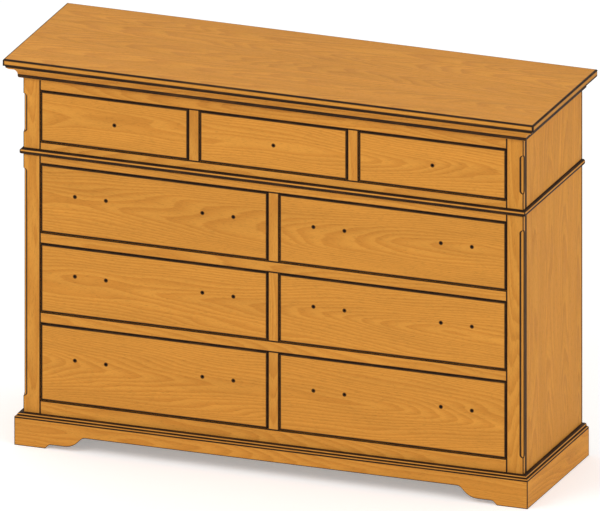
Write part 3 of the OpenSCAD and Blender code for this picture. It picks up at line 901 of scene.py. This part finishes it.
@dataclass(frozen=True)
class SteelFinish:
    """Bright zinc-plated steel with a fine brushed grain."""

    name: str = "zinc_steel"
    slot: str = "screw_steel"
    bright: Colour = (0.46, 0.46, 0.44)
    dull: Colour = (0.30, 0.29, 0.26)
    brushed_noise: Noise = Noise(300, 300, 2600)
    spot_noise: Noise = Noise(90, 90, 90, 3.0)
    spot_edge: Span = (0.52, 0.68)
    spot_depth: float = 0.2
    roughness: float = 0.28
    brushed_rough: float = 0.14
    brushed_tone: float = 0.2
    bump: float = 0.12
    bump_height: float = 0.0001

    def dress(self) -> bpy.types.Material:
        """Makes the material of all the screws.

        Returns:
            The material.
        """
        net = MaterialNet(self.name)
        place = net.place()
        brushed = net.noise(place, self.brushed_noise)[0]
        spots = net.step(net.noise(place, self.spot_noise)[0], *self.spot_edge)
        level = 1 - self.brushed_tone / 2 + brushed * self.brushed_tone
        rough = self.roughness + brushed * self.brushed_rough + spots * self.spot_depth
        return net.coated(
            Base_Color=net.scaled(net.mix(spots, self.bright, self.dull), level),
            Metallic=1 - spots * self.spot_depth,
            Roughness=rough,
            Normal=net.bump(brushed, self.bump, self.bump_height),
        )


SHOW_WOOD = WoodFinish(
    name="cherry",
    slot="show_wood",
    early=(0.663, 0.285, 0.044),
    late=(0.510, 0.187, 0.023),
    glaze_and_shade_depth=0.98,
    end_depth=0.12,
)
# A broad glaze for the slab and the drawer fronts; round the drawer fronts it is also painted shade
# of the gap in which each sits.
BROAD_GLAZE_AND_SHADE_WOOD = replace(SHOW_WOOD, glaze_and_shade_width=0.0065)
RUN_WOOD = replace(SHOW_WOOD, glaze_and_shade_width=0.0036)
PLINTH_WOOD = replace(SHOW_WOOD, glaze_and_shade_width=0.0028)
INNER_WOOD = WoodFinish(
    name="maple",
    slot="inner_wood",
    early=(0.76, 0.56, 0.31),
    late=(0.60, 0.40, 0.19),
    ring=0.0052,
    figure=0.42,
    pores=0.14,
    tone=0.14,
    roughness=0.66,
    gloss=0.2,
    end_depth=0.14,
)
PLYWOOD = PlyFinish(
    name="maple_ply",
    slot="inner_wood",
    early=(0.76, 0.57, 0.33),
    late=(0.62, 0.42, 0.21),
    figure=0.35,
    pores=0.12,
    tone=0.05,
    roughness=0.66,
    gloss=0.2,
    end_depth=0.0,
)
STEEL = SteelFinish()


# Recut boards


@dataclass(frozen=True)
class Plane:
    """Takes the sharp arrises off a board."""

    ease: float = 0.0008
    segments: int = 3
    weld: float = 2e-6
    flat_angle: float = math.radians(0.4)
    seam_angle: float = 0.02
    arris_angle: float = math.radians(60)

    def recut(self, source: bpy.types.Mesh, curved: bool = False) -> list[bmesh.types.BMesh]:
        """Cuts a node's mesh into its solids and eases each.

        Args:
            source: The node's mesh, of loose triangles.
            curved: Whether the arrises of its front face are eased as well.

        Returns:
            One mesh for each solid.
        """
        whole = bmesh.new()
        whole.from_mesh(source)
        bmesh.ops.remove_doubles(whole, verts=whole.verts, dist=self.weld)
        pieces = []
        for faces in islands(whole):
            piece = whole.copy()
            keep = set(faces)
            extra = [f for f in piece.faces if f.index not in keep]
            bmesh.ops.delete(piece, geom=extra, context="FACES")
            bmesh.ops.dissolve_limit(
                piece, angle_limit=self.flat_angle, verts=piece.verts, edges=piece.edges
            )
            self.ease_arrises(piece, curved)
            pieces.append(piece)
        whole.free()
        return pieces

    def ease_arrises(self, piece: bmesh.types.BMesh, curved: bool) -> None:
        """Rounds the outer arrises of a solid a little.

        Args:
            piece: The solid, which is changed.
            curved: Whether those of its front face are rounded as well.
        """
        low, high = corners(piece.verts)
        edges = [e for e in piece.edges if self.is_arris(e, low, high, curved)]
        edges = [e for e in edges if not any(self.is_flat(v) for v in e.verts)]
        bmesh.ops.bevel(
            piece,
            geom=edges,
            offset=self.ease,
            offset_type="OFFSET",
            segments=self.segments,
            profile=0.5,
            affect="EDGES",
            clamp_overlap=False,
            material=-1,
            loop_slide=True,
        )
        for vert in piece.verts:
            vert.co = [max(a, min(b, c)) for a, b, c in zip(low, high, vert.co)]

    def is_flat(self, vert: bmesh.types.BMVert) -> bool:
        """Tells whether an edge that no one can see runs from a corner."""
        return any(edge.calc_face_angle(1.0) < self.seam_angle for edge in vert.link_edges)

    def is_arris(
        self, edge: bmesh.types.BMEdge, low: Vector, high: Vector, curved: bool
    ) -> bool:
        """Tells whether an edge is an outer arris.

        Args:
            edge: The edge.
            low: The solid's lowest corner.
            high: The solid's highest corner.
            curved: Whether a sharp edge of the front face counts.

        Returns:
            True where it is.
        """
        if len(edge.link_faces) != 2 or not edge.is_convex:
            return False
        if edge.calc_face_angle() < self.arris_angle:
            return False
        sides = 0
        for axis in range(3):
            for side in (low, high):
                sides += all(abs(v.co[axis] - side[axis]) < TOUCH for v in edge.verts)
        front = all(abs(v.co.y - low.y) < TOUCH for v in edge.verts)
        return sides >= 2 or (curved and front)


def islands(mesh: bmesh.types.BMesh) -> list[list[int]]:
    """Groups the faces of a mesh by the solid that they belong to.

    Args:
        mesh: The mesh, with its doubles merged.

    Returns:
        The numbers of each solid's faces.
    """
    mesh.verts.index_update()
    mesh.faces.index_update()
    seen: set[int] = set()
    groups = []
    for start in mesh.verts:
        if start.index in seen:
            continue
        seen.add(start.index)
        queue, faces = [start], set()
        while queue:
            vert = queue.pop()
            faces.update(f.index for f in vert.link_faces)
            for edge in vert.link_edges:
                other = edge.other_vert(vert)
                if other.index not in seen:
                    seen.add(other.index)
                    queue.append(other)
        groups.append(sorted(faces))
    return groups


def corners(verts: Iterable[bmesh.types.BMVert]) -> tuple[Vector, Vector]:
    """Gives the lowest and the highest corner of some vertices."""
    spans = list(zip(*(vert.co for vert in verts)))
    return Vector([min(span) for span in spans]), Vector([max(span) for span in spans])


def settle(
    name: str,
    mesh: bpy.types.Mesh,
    node: str,
    smooth_angle: float = SHARP_ANGLE,
) -> bpy.types.Object:
    """Shades a finished mesh, and puts it in place of its node.

    Args:
        name: The piece's name.
        mesh: The mesh, in its place.
        node: The node that it stands for.
        smooth_angle: The least angle of an edge that stays sharp.

    Returns:
        The piece.
    """
    body = frame["nodes"][node]["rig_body"]
    shaped = bmesh.new()
    shaped.from_mesh(mesh)
    for face in shaped.faces:
        face.smooth = True
    for edge in shaped.edges:
        edge.smooth = len(edge.link_faces) == 2 and edge.calc_face_angle() < smooth_angle
    shaped.to_mesh(mesh)
    shaped.free()
    piece = linked(name, mesh)
    weigh = piece.modifiers.new("Weigh", "WEIGHTED_NORMAL")
    weigh.keep_sharp = True
    piece.data = baked(piece, name)
    piece.modifiers.clear()
    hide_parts(node)
    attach(piece, body)
    LOG.info("%s: %d faces on %s", name, len(piece.data.polygons), body)
    return piece


@dataclass(frozen=True)
class Joiner:
    """Recuts the nodes of the frame as boards of one finish."""

    finish: WoodFinish
    plane: Plane = Plane()

    def make(
        self,
        node: str,
        staves: int = 1,
        ends: float = 0.0,
        lines: tuple[GlazeAndShadeLine, ...] = (),
        log: str = "",
        middle: Vector | None = None,
        curved: bool = False,
        each: bool = True,
    ) -> bpy.types.Object:
        """Makes the boards of one node.

        Args:
            node: The node.
            staves: How many narrow boards it is glued up from.
            ends: The length of the tenons at its ends.
            lines: Where glaze stays, or shade is painted, apart from its arrises.
            log: The name of the log, where boards share one.
            middle: The middle of that log.
            curved: Whether the arrises of a shaped front are eased.
            each: Whether each solid has a material of its own.

        Returns:
            The piece that stands for the node.
        """
        mesh = bpy.data.meshes.new(node)
        joined = bmesh.new()
        known: dict[object, int] = {}
        pieces = self.plane.recut(frame["nodes"][node].data, curved)
        for number, piece in enumerate(pieces):
            name = f"{node}_{number}" if len(pieces) > 1 else node
            board = Board(name, *corners(piece.verts), staves, ends, lines, log, middle)
            key: object = number if each else board.grain
            if key not in known:
                known[key] = len(known)
                mesh.materials.append(self.finish.dress(board))
            for face in piece.faces:
                face.material_index = known[key]
            scrap = bpy.data.meshes.new("scrap")
            piece.to_mesh(scrap)
            joined.from_mesh(scrap)
            bpy.data.meshes.remove(scrap)
            piece.free()
        joined.to_mesh(mesh)
        joined.free()
        return settle(f"{node}_wood", mesh, node)


# Mouldings


def arc(x: float, z: float, r: float, start: float, end: float, count: int) -> Outline:
    """Gives points along an arc.

    Args:
        x: The centre's projection.
        z: The centre's height.
        r: The radius.
        start: The first angle, in degrees.
        end: The last angle, in degrees.
        count: How many steps it has.

    Returns:
        The points, each a projection and a height.
    """
    angles = [math.radians(start + (end - start) * i / count) for i in range(count + 1)]
    return [(x + r * math.cos(a), z + r * math.sin(a)) for a in angles]


def moulding_tree() -> ShapeNet:
    """Builds the tree that runs an outline along a board and mitres its ends.

    The outline stands at X = 0 with its projection towards -Y. A mitre is 1
    for a mitred end and 0 for a square one.

    Returns:
        The tree.
    """
    sizes = {"Length": 1.0, "Start Mitre": 1.0, "End Mitre": 1.0}
    net = ShapeNet("run_moulding", sizes)
    outline, length = net.inputs["Geometry"], net.inputs["Length"]
    inputs = {"Mesh": outline, "Offset": (1, 0, 0), "Offset Scale": length, "Individual": False}
    run = net.add("GeometryNodeExtrudeMesh", inputs, mode="FACES")["Mesh"]
    back = net.add("GeometryNodeFlipFaces", {"Mesh": outline})["Mesh"]
    both = net.add("GeometryNodeJoinGeometry", {"Geometry": [run, back]})["Geometry"]
    inputs = {"Geometry": both, "Distance": WELD}
    closed = net.add("GeometryNodeMergeByDistance", inputs)["Geometry"]
    x, y, _ = net.split(net.add("GeometryNodeInputPosition")["Position"])
    far = x > length / 2
    mitre = far * net.inputs["End Mitre"] - (1 - far) * net.inputs["Start Mitre"]
    inputs = {"Geometry": closed, "Offset": net.joined(mitre * y * -1)}
    net.finish(net.add("GeometryNodeSetPosition", inputs)["Geometry"])
    return net


@dataclass
class Moulding:
    """A moulding round the front and the sides of the case, mitred."""

    nodes: tuple[str, str, str]
    finish: WoodFinish = RUN_WOOD

    def outline(self) -> Outline:
        """Gives the outline, from its foot out and up."""
        raise NotImplementedError

    def lines(self) -> tuple[GlazeAndShadeLine, ...]:
        """Gives the lines in which glaze stays, or shade is painted."""
        raise NotImplementedError

    def seed_mesh(self, name: str) -> bpy.types.Mesh:
        """Makes the outline's face, which looks along +X.

        Args:
            name: The mesh's name.

        Returns:
            The mesh, of one face.
        """
        mesh = bpy.data.meshes.new(name)
        points = [(0.0, -reach, height) for reach, height in reversed(self.outline())]
        mesh.from_pydata(points, [], [list(range(len(points)))])
        return mesh

    def build(self, tree: ShapeNet) -> None:
        """Runs the front piece and the two side pieces.

        Args:
            tree: The tree that runs a moulding.
        """
        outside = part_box("side_right")[1]
        half, back, front = outside.x, outside.y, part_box("stile_right")[0].y
        places = {
            self.nodes[0]: ((-half, front), 0, 2 * half, 1.0, 1.0),
            self.nodes[1]: ((-half, back), -90, back - front, 0.0, 1.0),
            self.nodes[2]: ((half, front), 90, back - front, 1.0, 0.0),
        }
        for node, (start, turn, length, first, last) in places.items():
            board = Board(node, *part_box(node), lines=self.lines())
            sizes = {"Length": length, "Start Mitre": first, "End Mitre": last}
            seed = self.seed_mesh(f"{node}_outline")
            mesh = tree.grow(node, seed, sizes, self.finish.dress(board))
            mesh.transform(Matrix.Rotation(math.radians(turn), 4, "Z"))
            mesh.transform(Matrix.Translation((*start, 0.0)))
            settle(f"{node}_run", mesh, node)


@dataclass
class Crown(Moulding):
    """The crown under the slab: a lip, a round, a hollow and a foot round."""

    projection: float = 0.038
    height: float = 0.040
    lip: float = 0.002
    round_r: float = 0.007
    step: float = 0.005
    hollow_r: float = 0.021
    foot_r: float = 0.006
    round_steps: int = 10
    hollow_steps: int = 22
    foot_line_drop: float = 0.0045
    lip_line_drop: float = 0.0025

    @property
    def top(self) -> float:
        """The height of the crown's upper edge."""
        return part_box(self.nodes[0])[1].z

    @property
    def hollow_z(self) -> float:
        """The height of the hollow's centre, which is that of its foot."""
        return self.top - self.lip - self.round_r - self.lip / 2 - self.hollow_r

    def outline(self) -> Outline:
        """Gives the outline, from its foot out and up.

        Returns:
            The points, each a projection and a height.
        """
        foot_z = self.top - self.height + self.foot_r
        hollow_x = self.projection - self.step
        foot_x = hollow_x - self.hollow_r - self.foot_r
        round_x = self.projection - self.round_r
        start = -math.degrees(math.acos((hollow_x - round_x) / self.round_r))
        return [
            (0.0, self.top - self.height),
            *arc(foot_x, foot_z, self.foot_r, -90, 0, self.round_steps),
            *arc(hollow_x, self.hollow_z, self.hollow_r, 180, 90, self.hollow_steps),
            *arc(round_x, self.top - self.lip, self.round_r, start, 0, self.round_steps),
            (self.projection, self.top),
            (0.0, self.top),
        ]

    def lines(self) -> tuple[GlazeAndShadeLine, ...]:
        """Gives the heights of the crown's foot and of its lip."""
        heights = (self.hollow_z - self.foot_line_drop, self.hollow_z, self.top - self.lip_line_drop)
        return tuple(Level(height) for height in heights)


@dataclass
class WaistBead(Moulding):
    """The bead at the waist, rounded above and below."""

    projection: float = 0.008
    height: float = 0.016
    edge_r: float = 0.006
    edge_steps: int = 12
    bead_shade_heights: tuple[float, ...] = (0.0035, 0.0065, 0.0155)

    @property
    def foot(self) -> float:
        """The height of the bead's lower edge."""
        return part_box(self.nodes[0])[0].z

    def outline(self) -> Outline:
        """Gives the outline, from its foot out and up.

        Returns:
            The points, each a projection and a height.
        """
        r, top = self.edge_r, self.foot + self.height
        return [
            (0.0, self.foot),
            *arc(self.projection - r, self.foot + r, r, -90, 0, self.edge_steps),
            *arc(self.projection - r, top - r, r, 0, 90, self.edge_steps),
            (0.0, top),
        ]

    def lines(self) -> tuple[GlazeAndShadeLine, ...]:
        """Gives the heights of painted shade on the bead: on its lower round, for the shadow under
        it, and along its top, where it meets the case.
        """
        return tuple(Level(self.foot + height) for height in self.bead_shade_heights)


# Screws


@dataclass
class Screws:
    """The wood screws of the case, where the frame has them."""

    node: str = "screws"
    head_radius: float = 0.004
    head_height: float = 0.0024
    core_radius: float = 0.0014
    thread_radius: float = 0.002
    tip_radius: float = 0.00015
    length: float = 0.032
    tip_length: float = 0.0064
    pitch: float = 0.002
    cross_width: float = 0.001
    cross_length: float = 0.0036
    cross_depth: float = 0.0012
    seed: int = 5
    neck_share: float = 0.8
    thread_share: float = 0.72
    head_sides: int = 28
    shank_sides: int = 14
    thread_sides: int = 3
    turn_steps: int = 8
    face_reach: float = 1e-4
    smooth_angle: float = math.radians(35)
    finish: SteelFinish = STEEL

    @property
    def sizes(self) -> dict[str, Size]:
        """The named inputs of the screws' tree, with their values."""
        return {
            "Head Radius": self.head_radius,
            "Head Height": self.head_height,
            "Core Radius": self.core_radius,
            "Thread Radius": self.thread_radius,
            "Tip Radius": self.tip_radius,
            "Length": self.length,
            "Tip Length": self.tip_length,
            "Pitch": self.pitch,
            "Cross Width": self.cross_width,
            "Cross Length": self.cross_length,
            "Cross Depth": self.cross_depth,
            "Seed": self.seed,
        }

    def head(self, net: ShapeNet) -> Wire:
        """Turns the countersunk head and cuts the cross in its face.

        Args:
            net: The screws' tree.

        Returns:
            The head, with its face at the origin.
        """
        take = net.inputs
        inputs = {
            "Vertices": self.head_sides,
            "Radius Top": take["Core Radius"],
            "Radius Bottom": take["Head Radius"],
            "Depth": take["Head Height"],
        }
        head = net.add("GeometryNodeMeshCone", inputs)["Mesh"]
        long, wide, deep = take["Cross Length"], take["Cross Width"], take["Cross Depth"] * 2
        for box in (net.joined(long, wide, deep), net.joined(wide, long, deep)):
            arm = net.add("GeometryNodeMeshCube", {"Size": box})["Mesh"]
            inputs = {"Mesh 1": head, "Mesh 2": arm}
            cut = net.add("GeometryNodeMeshBoolean", inputs, operation="DIFFERENCE", solver="EXACT")
            head = cut["Mesh"]
        return head

    def thread(self, net: ShapeNet, length: Wire) -> Wire:
        """Winds the thread.

        Args:
            net: The screws' tree.
            length: How far it reaches along the shank.

        Returns:
            The thread, from the origin up.
        """
        core = net.inputs["Core Radius"]
        inputs = {
            "Resolution": self.turn_steps,
            "Rotations": length / net.inputs["Pitch"],
            "Start Radius": core,
            "End Radius": core,
            "Height": length,
        }
        spiral = net.add("GeometryNodeCurveSpiral", inputs)["Curve"]
        rise = net.inputs["Thread Radius"] - core
        inputs = {"Resolution": self.thread_sides, "Radius": rise}
        blade = net.add("GeometryNodeCurvePrimitiveCircle", inputs, mode="RADIUS")["Curve"]
        inputs = {"Curve": spiral, "Profile Curve": blade, "Fill Caps": True}
        return net.add("GeometryNodeCurveToMesh", inputs)["Mesh"]

    def screw(self, net: ShapeNet) -> Wire:
        """Puts the screw together.

        Args:
            net: The screws' tree.

        Returns:
            One screw, which points along Z from the face of its head.
        """
        take = net.inputs
        core, tip = take["Core Radius"], take["Tip Length"]
        tip_at = take["Length"] - tip
        neck = take["Head Height"] * self.neck_share
        shank_l = tip_at - neck
        inputs = {"Vertices": self.shank_sides, "Radius": core, "Depth": shank_l}
        shank = net.add("GeometryNodeMeshCylinder", inputs)["Mesh"]
        inputs = {
            "Vertices": self.shank_sides,
            "Radius Top": take["Tip Radius"],
            "Radius Bottom": core,
            "Depth": tip,
        }
        point = net.add("GeometryNodeMeshCone", inputs)["Mesh"]
        thread_l = shank_l * self.thread_share
        parts = [
            self.head(net),
            net.lifted(shank, neck + shank_l / 2),
            net.lifted(point, tip_at),
            net.lifted(self.thread(net, thread_l), tip_at - thread_l),
        ]
        return net.add("GeometryNodeJoinGeometry", {"Geometry": parts})["Geometry"]

    def tree(self) -> ShapeNet:
        """Builds the tree that drives a screw at each point, along its aim.

        Returns:
            The tree.
        """
        net = ShapeNet("drive_screws", self.sizes)
        inputs = {"Min": 0.0, "Max": math.tau, "Seed": net.inputs["Seed"]}
        spin = net.add("FunctionNodeRandomValue", inputs, data_type="FLOAT")["Value"]
        turned = net.add("FunctionNodeEulerToRotation", {"Euler": net.joined(z=spin)})[0]
        inputs = {"Name": "aim"}
        aim = net.add("GeometryNodeInputNamedAttribute", inputs, data_type="FLOAT_VECTOR")
        inputs = {"Rotation": turned, "Vector": aim["Attribute"]}
        aimed = net.add("FunctionNodeAlignRotationToVector", inputs, axis="Z")["Rotation"]
        points = net.inputs["Geometry"]
        inputs = {"Points": points, "Instance": self.screw(net), "Rotation": aimed}
        net.finish(net.add("GeometryNodeInstanceOnPoints", inputs)["Instances"])
        return net

    def places(self) -> list[tuple[Vector, Vector]]:
        """Reads the frame's screws.

        Returns:
            For each screw, the middle of its head's face, and its aim.
        """
        whole = bmesh.new()
        whole.from_mesh(frame["nodes"][self.node].data)
        bmesh.ops.remove_doubles(whole, verts=whole.verts, dist=WELD)
        whole.faces.ensure_lookup_table()
        found = []
        for faces in islands(whole):
            points = {v for f in faces for v in whole.faces[f].verts}
            low, high = corners(points)
            middle = (low + high) / 2
            axis = max(range(3), key=lambda i: high[i] - low[i])
            reach = {}
            for end in (low[axis], high[axis]):
                side = [v.co for v in points if abs(v.co[axis] - end) < self.face_reach]
                reach[end] = max((point - middle).length for point in side)
            head = middle.copy()
            head[axis] = max(reach, key=reach.get)
            aim = Vector((0, 0, 0))
            aim[axis] = 1.0 if head[axis] < middle[axis] else -1.0
            found.append((head, aim))
        whole.free()
        return sorted(found, key=lambda f: tuple(round(c, 5) for c in f[0]))

    def build(self) -> None:
        """Drives all the screws."""
        places = self.places()
        mesh = bpy.data.meshes.new("screw_points")
        mesh.from_pydata([head for head, _ in places], [], [])
        aims = mesh.attributes.new("aim", "FLOAT_VECTOR", "POINT")
        aims.data.foreach_set("vector", [c for _, aim in places for c in aim])
        driven = self.tree().grow("driven_screws", mesh, self.sizes, self.finish.dress())
        settle("driven_screws", driven, self.node, self.smooth_angle)


# Sub-assemblies


def bead_shade_lines() -> tuple[GlazeAndShadeLine, ...]:
    """Gives the lines of painted shade on the case along its bead's two edges: the shadow under the
    bead and the crease above it.
    """
    return tuple(Level(corner.z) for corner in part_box("waist_bead_front"))


def corner_lines() -> tuple[GlazeAndShadeLine, ...]:
    """Gives the lines of the stiles and the sides: the painted shade beside the bead, and the joint
    in which they meet.
    """
    return *bead_shade_lines(), *(BroadJoint(corner.y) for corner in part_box("side_right"))


@dataclass
class Carcase:
    """The slab, the sides, the back and all that holds the drawers."""

    slab_staves: int = 5
    side_staves: int = 4
    slab: Joiner = Joiner(BROAD_GLAZE_AND_SHADE_WOOD, Plane(ease=0.003))
    side: Joiner = Joiner(SHOW_WOOD, Plane(ease=0.003))
    inner: Joiner = Joiner(INNER_WOOD)
    ply: Joiner = Joiner(PLYWOOD)
    insides: tuple[str, ...] = (
        "bottom_web_frame",
        "lower_web_frame",
        "upper_web_frame",
        "waist_kicker_frame",
        "waist_runner_frame",
        "top_kicker_frame",
        "drawer_guides",
        "drawer_stops",
        "case_blocks",
    )

    def build(self) -> None:
        """Makes the boards of the case."""
        self.slab.make("top_slab", staves=self.slab_staves)
        for side in ("left", "right"):
            self.side.make(f"side_{side}", staves=self.side_staves, lines=corner_lines())
        self.ply.make("back_panel")
        for node in self.insides:
            self.inner.make(node, each=False)


@dataclass
class FaceFrame:
    """The stiles, rails and dividers between the drawers."""

    rail_tenon: float = 0.025
    divider_tenon: float = 0.008
    upper_foot: float = 0.023
    upper_head: float = 0.013
    lower_foot: float = 0.008
    lower_head: float = 0.018
    show: Joiner = Joiner(SHOW_WOOD)
    rails: tuple[str, ...] = ("top", "waist", "upper_middle", "lower_middle", "bottom")
    dividers: tuple[str, ...] = (
        "top_divider_left",
        "top_divider_right",
        "lower_dividers",
    )

    def chamfers(self) -> tuple[StoppedChamfer, StoppedChamfer]:
        """Gives the two chamfers of a stile, between its rails.

        Returns:
            The lower and the upper chamfer.
        """
        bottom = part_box("bottom_rail")[1].z
        waist_low, waist_high = (corner.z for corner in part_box("waist_rail"))
        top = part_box("top_rail")[0].z
        return (
            StoppedChamfer(bottom + self.lower_foot, waist_low - self.lower_head),
            StoppedChamfer(waist_high + self.upper_foot, top - self.upper_head),
        )

    def build(self) -> None:
        """Makes the boards of the face frame."""
        for side in ("left", "right"):
            self.show.make(f"stile_{side}", lines=(*self.chamfers(), *corner_lines()))
        for rail in self.rails:
            self.show.make(f"{rail}_rail", ends=self.rail_tenon, lines=bead_shade_lines())
        for divider in self.dividers:
            self.show.make(divider, ends=self.divider_tenon)


@dataclass
class Plinth:
    """The three boards of the plinth, with a moulded top edge."""

    height: float = 0.0915
    high_r: float = 0.005
    step: float = 0.003
    round_line_drop: float = 0.006
    show: Joiner = Joiner(PLINTH_WOOD)

    def scroll(self) -> ShapedFoot:
        """Reads the lower edge of the front board from the frame.

        Returns:
            The edge.
        """
        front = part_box("plinth_front")[0].y
        points = {
            (round(v.co.x, 5), round(v.co.z, 5))
            for v in frame["nodes"]["plinth_front"].data.vertices
            if v.co.x >= 0 and abs(v.co.y - front) < TOUCH and v.co.z < self.height / 2
        }
        arch = max(z for _, z in points)
        return ShapedFoot(((0.0, arch), *sorted(points)))

    def build(self) -> None:
        """Makes the boards of the plinth."""
        ledge = self.height - self.high_r - self.step / 2
        lines = Level(ledge - self.round_line_drop), Level(ledge), Level(self.height)
        self.show.make("plinth_front", lines=(*lines, self.scroll()), curved=True)
        for side in ("left", "right"):
            self.show.make(f"plinth_{side}", lines=lines)


@dataclass
class Drawer:
    """One drawer: its front, its dovetailed box and its bottom."""

    row: str
    place: str
    middle: Vector
    pull_aside: float = 0.183
    pull_centres: float = 0.089
    pull_up: float = 0.015
    show: Joiner = Joiner(BROAD_GLAZE_AND_SHADE_WOOD)
    inner: Joiner = Joiner(INNER_WOOD)
    ply: Joiner = Joiner(PLYWOOD)

    def holes(self, front: str) -> PullHoles:
        """Gives the holes of a front: one for a knob, or four for two pulls.

        Args:
            front: The front's node.

        Returns:
            The holes.
        """
        low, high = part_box(front)
        x, z = (low.x + high.x) / 2, (low.z + high.z) / 2
        if self.row == "top":
            return PullHoles(x, z)
        return PullHoles(x, z + self.pull_up, self.pull_aside, self.pull_centres)

    def build(self) -> None:
        """Makes the drawer; its front comes from its row's long board."""
        name = f"{self.row}_{self.place}_drawer"
        front = f"{name}_front"
        lines = (self.holes(front),)
        self.show.make(front, lines=lines, log=f"{self.row}_board", middle=self.middle)
        self.inner.make(f"{name}_box")
        self.ply.make(f"{name}_bottom")


def drawers() -> Iterable[Drawer]:
    """Lists the drawers, row by row.

    Yields:
        Each drawer, with the middle of the board that its row is cut from.
    """
    for row in ("top", "second", "third", "bottom"):
        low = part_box(f"{row}_left_drawer_front")[0]
        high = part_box(f"{row}_right_drawer_front")[1]
        places = ("left", "middle", "right") if row == "top" else ("left", "right")
        for place in places:
            yield Drawer(row, place, (low + high) / 2)


# Studio


@dataclass(frozen=True)
class Lamp:
    """A large soft lamp that looks at the dresser."""

    name: str
    place: tuple[float, float, float]
    size: float
    power: float

    def hang(self, target: Vector) -> None:
        """Hangs the lamp and turns it to a point.

        Args:
            target: The point.
        """
        data = bpy.data.lights.new(self.name, "AREA")
        data.shape = "DISK"
        data.size = self.size
        data.energy = self.power
        lamp = linked(self.name, data)
        lamp.location = self.place
        away = Vector(self.place) - target
        lamp.rotation_euler = away.to_track_quat("Z", "Y").to_euler()


@dataclass
class Studio:
    """A pale floor, a white room and soft lamps."""

    floor_half: float = 9.0
    floor_colour: Colour = (0.86, 0.86, 0.86)
    floor_glow: float = 0.31
    room_light: float = 0.80
    target: tuple[float, float, float] = (0.0, 0.0, 0.5)
    lamps: tuple[Lamp, ...] = (
        Lamp("key", (-2.6, -4.2, 4.6), 3.2, 95.0),
        Lamp("fill", (4.6, -2.2, 2.6), 3.0, 45.0),
    )

    def build(self) -> None:
        """Sets up the floor, the room and the lamps."""
        self.floor()
        self.room()
        for lamp in self.lamps:
            lamp.hang(Vector(self.target))
        bpy.context.scene.view_settings.view_transform = "Standard"

    def floor(self) -> None:
        """Lays the floor, which the camera sees a little brighter."""
        half = self.floor_half
        mesh = bpy.data.meshes.new("floor")
        points = [(-half, -half, 0), (half, -half, 0), (half, half, 0), (-half, half, 0)]
        mesh.from_pydata(points, [], [(0, 1, 2, 3)])
        net = MaterialNet("studio_floor")
        paper = net.add("ShaderNodeBsdfDiffuse", {"Color": self.floor_colour})["BSDF"]
        inputs = {"Color": WHITE, "Strength": self.seen(net) * self.floor_glow}
        glow = net.add("ShaderNodeEmission", inputs)["Emission"]
        both = net.add("ShaderNodeAddShader", {0: paper, 1: glow})["Shader"]
        mesh.materials.append(net.finish(both))
        linked("floor", mesh)

    def room(self) -> None:
        """Makes the room white to look at, and its light even."""
        world = bpy.data.worlds.new("room")
        bpy.context.scene.world = world
        world.use_nodes = True
        world.node_tree.nodes.clear()
        net = Net(world.node_tree)
        seen = self.seen(net)
        inputs = {"Color": WHITE, "Strength": seen + (1 - seen) * self.room_light}
        light = net.add("ShaderNodeBackground", inputs)["Background"]
        net.add("ShaderNodeOutputWorld", {"Surface": light})

    @staticmethod
    def seen(net: Net) -> Wire:
        """Marks what the camera sees, also in a mirror or through glass.

        Args:
            net: The tree of the floor or of the room.

        Returns:
            1 for what it sees, and 0 elsewhere.
        """
        path = net.add("ShaderNodeLightPath")
        either = net.math("MAXIMUM", path["Is Camera Ray"], path["Is Glossy Ray"])
        return net.math("MAXIMUM", either, path["Is Transmission Ray"])


@dataclass(frozen=True)
class ViewCamera:
    """The photograph's camera: a parallel view from the upper right."""

    azimuth: float = 20.705
    elevation: float = 19.471
    width: float = 1.6119
    aside: float = -0.0004
    above: float = 0.5258
    distance: float = 4.0
    sight: float = 30.0

    def build(self) -> None:
        """Sets up the camera."""
        turn, rise = math.radians(self.azimuth), math.radians(self.elevation)
        right = Vector((math.cos(turn), math.sin(turn), 0))
        away = math.cos(rise)
        back = Vector((math.sin(turn) * away, -math.cos(turn) * away, math.sin(rise)))
        up = back.cross(right)
        data = bpy.data.cameras.new("camera")
        data.type = "ORTHO"
        data.ortho_scale = self.width
        data.clip_end = self.sight
        camera = linked("camera", data)
        matrix = Matrix((right, up, back)).transposed().to_4x4()
        matrix.translation = right * self.aside + up * self.above + back * self.distance
        camera.matrix_world = matrix
        bpy.context.scene.camera = camera


def main() -> None:
    """Builds the studio and the dresser, part by part."""
    logging.basicConfig(level=logging.INFO, format="%(name)s: %(message)s")
    ViewCamera().build()
    Studio().build()
    Carcase().build()
    FaceFrame().build()
    runs = moulding_tree()
    Crown(("crown_front", "crown_left", "crown_right")).build(runs)
    WaistBead(("waist_bead_front", "waist_bead_left", "waist_bead_right")).build(runs)
    Plinth().build()
    Screws().build()
    for drawer in drawers():
        drawer.build()


if __name__ == "__main__":
    main()
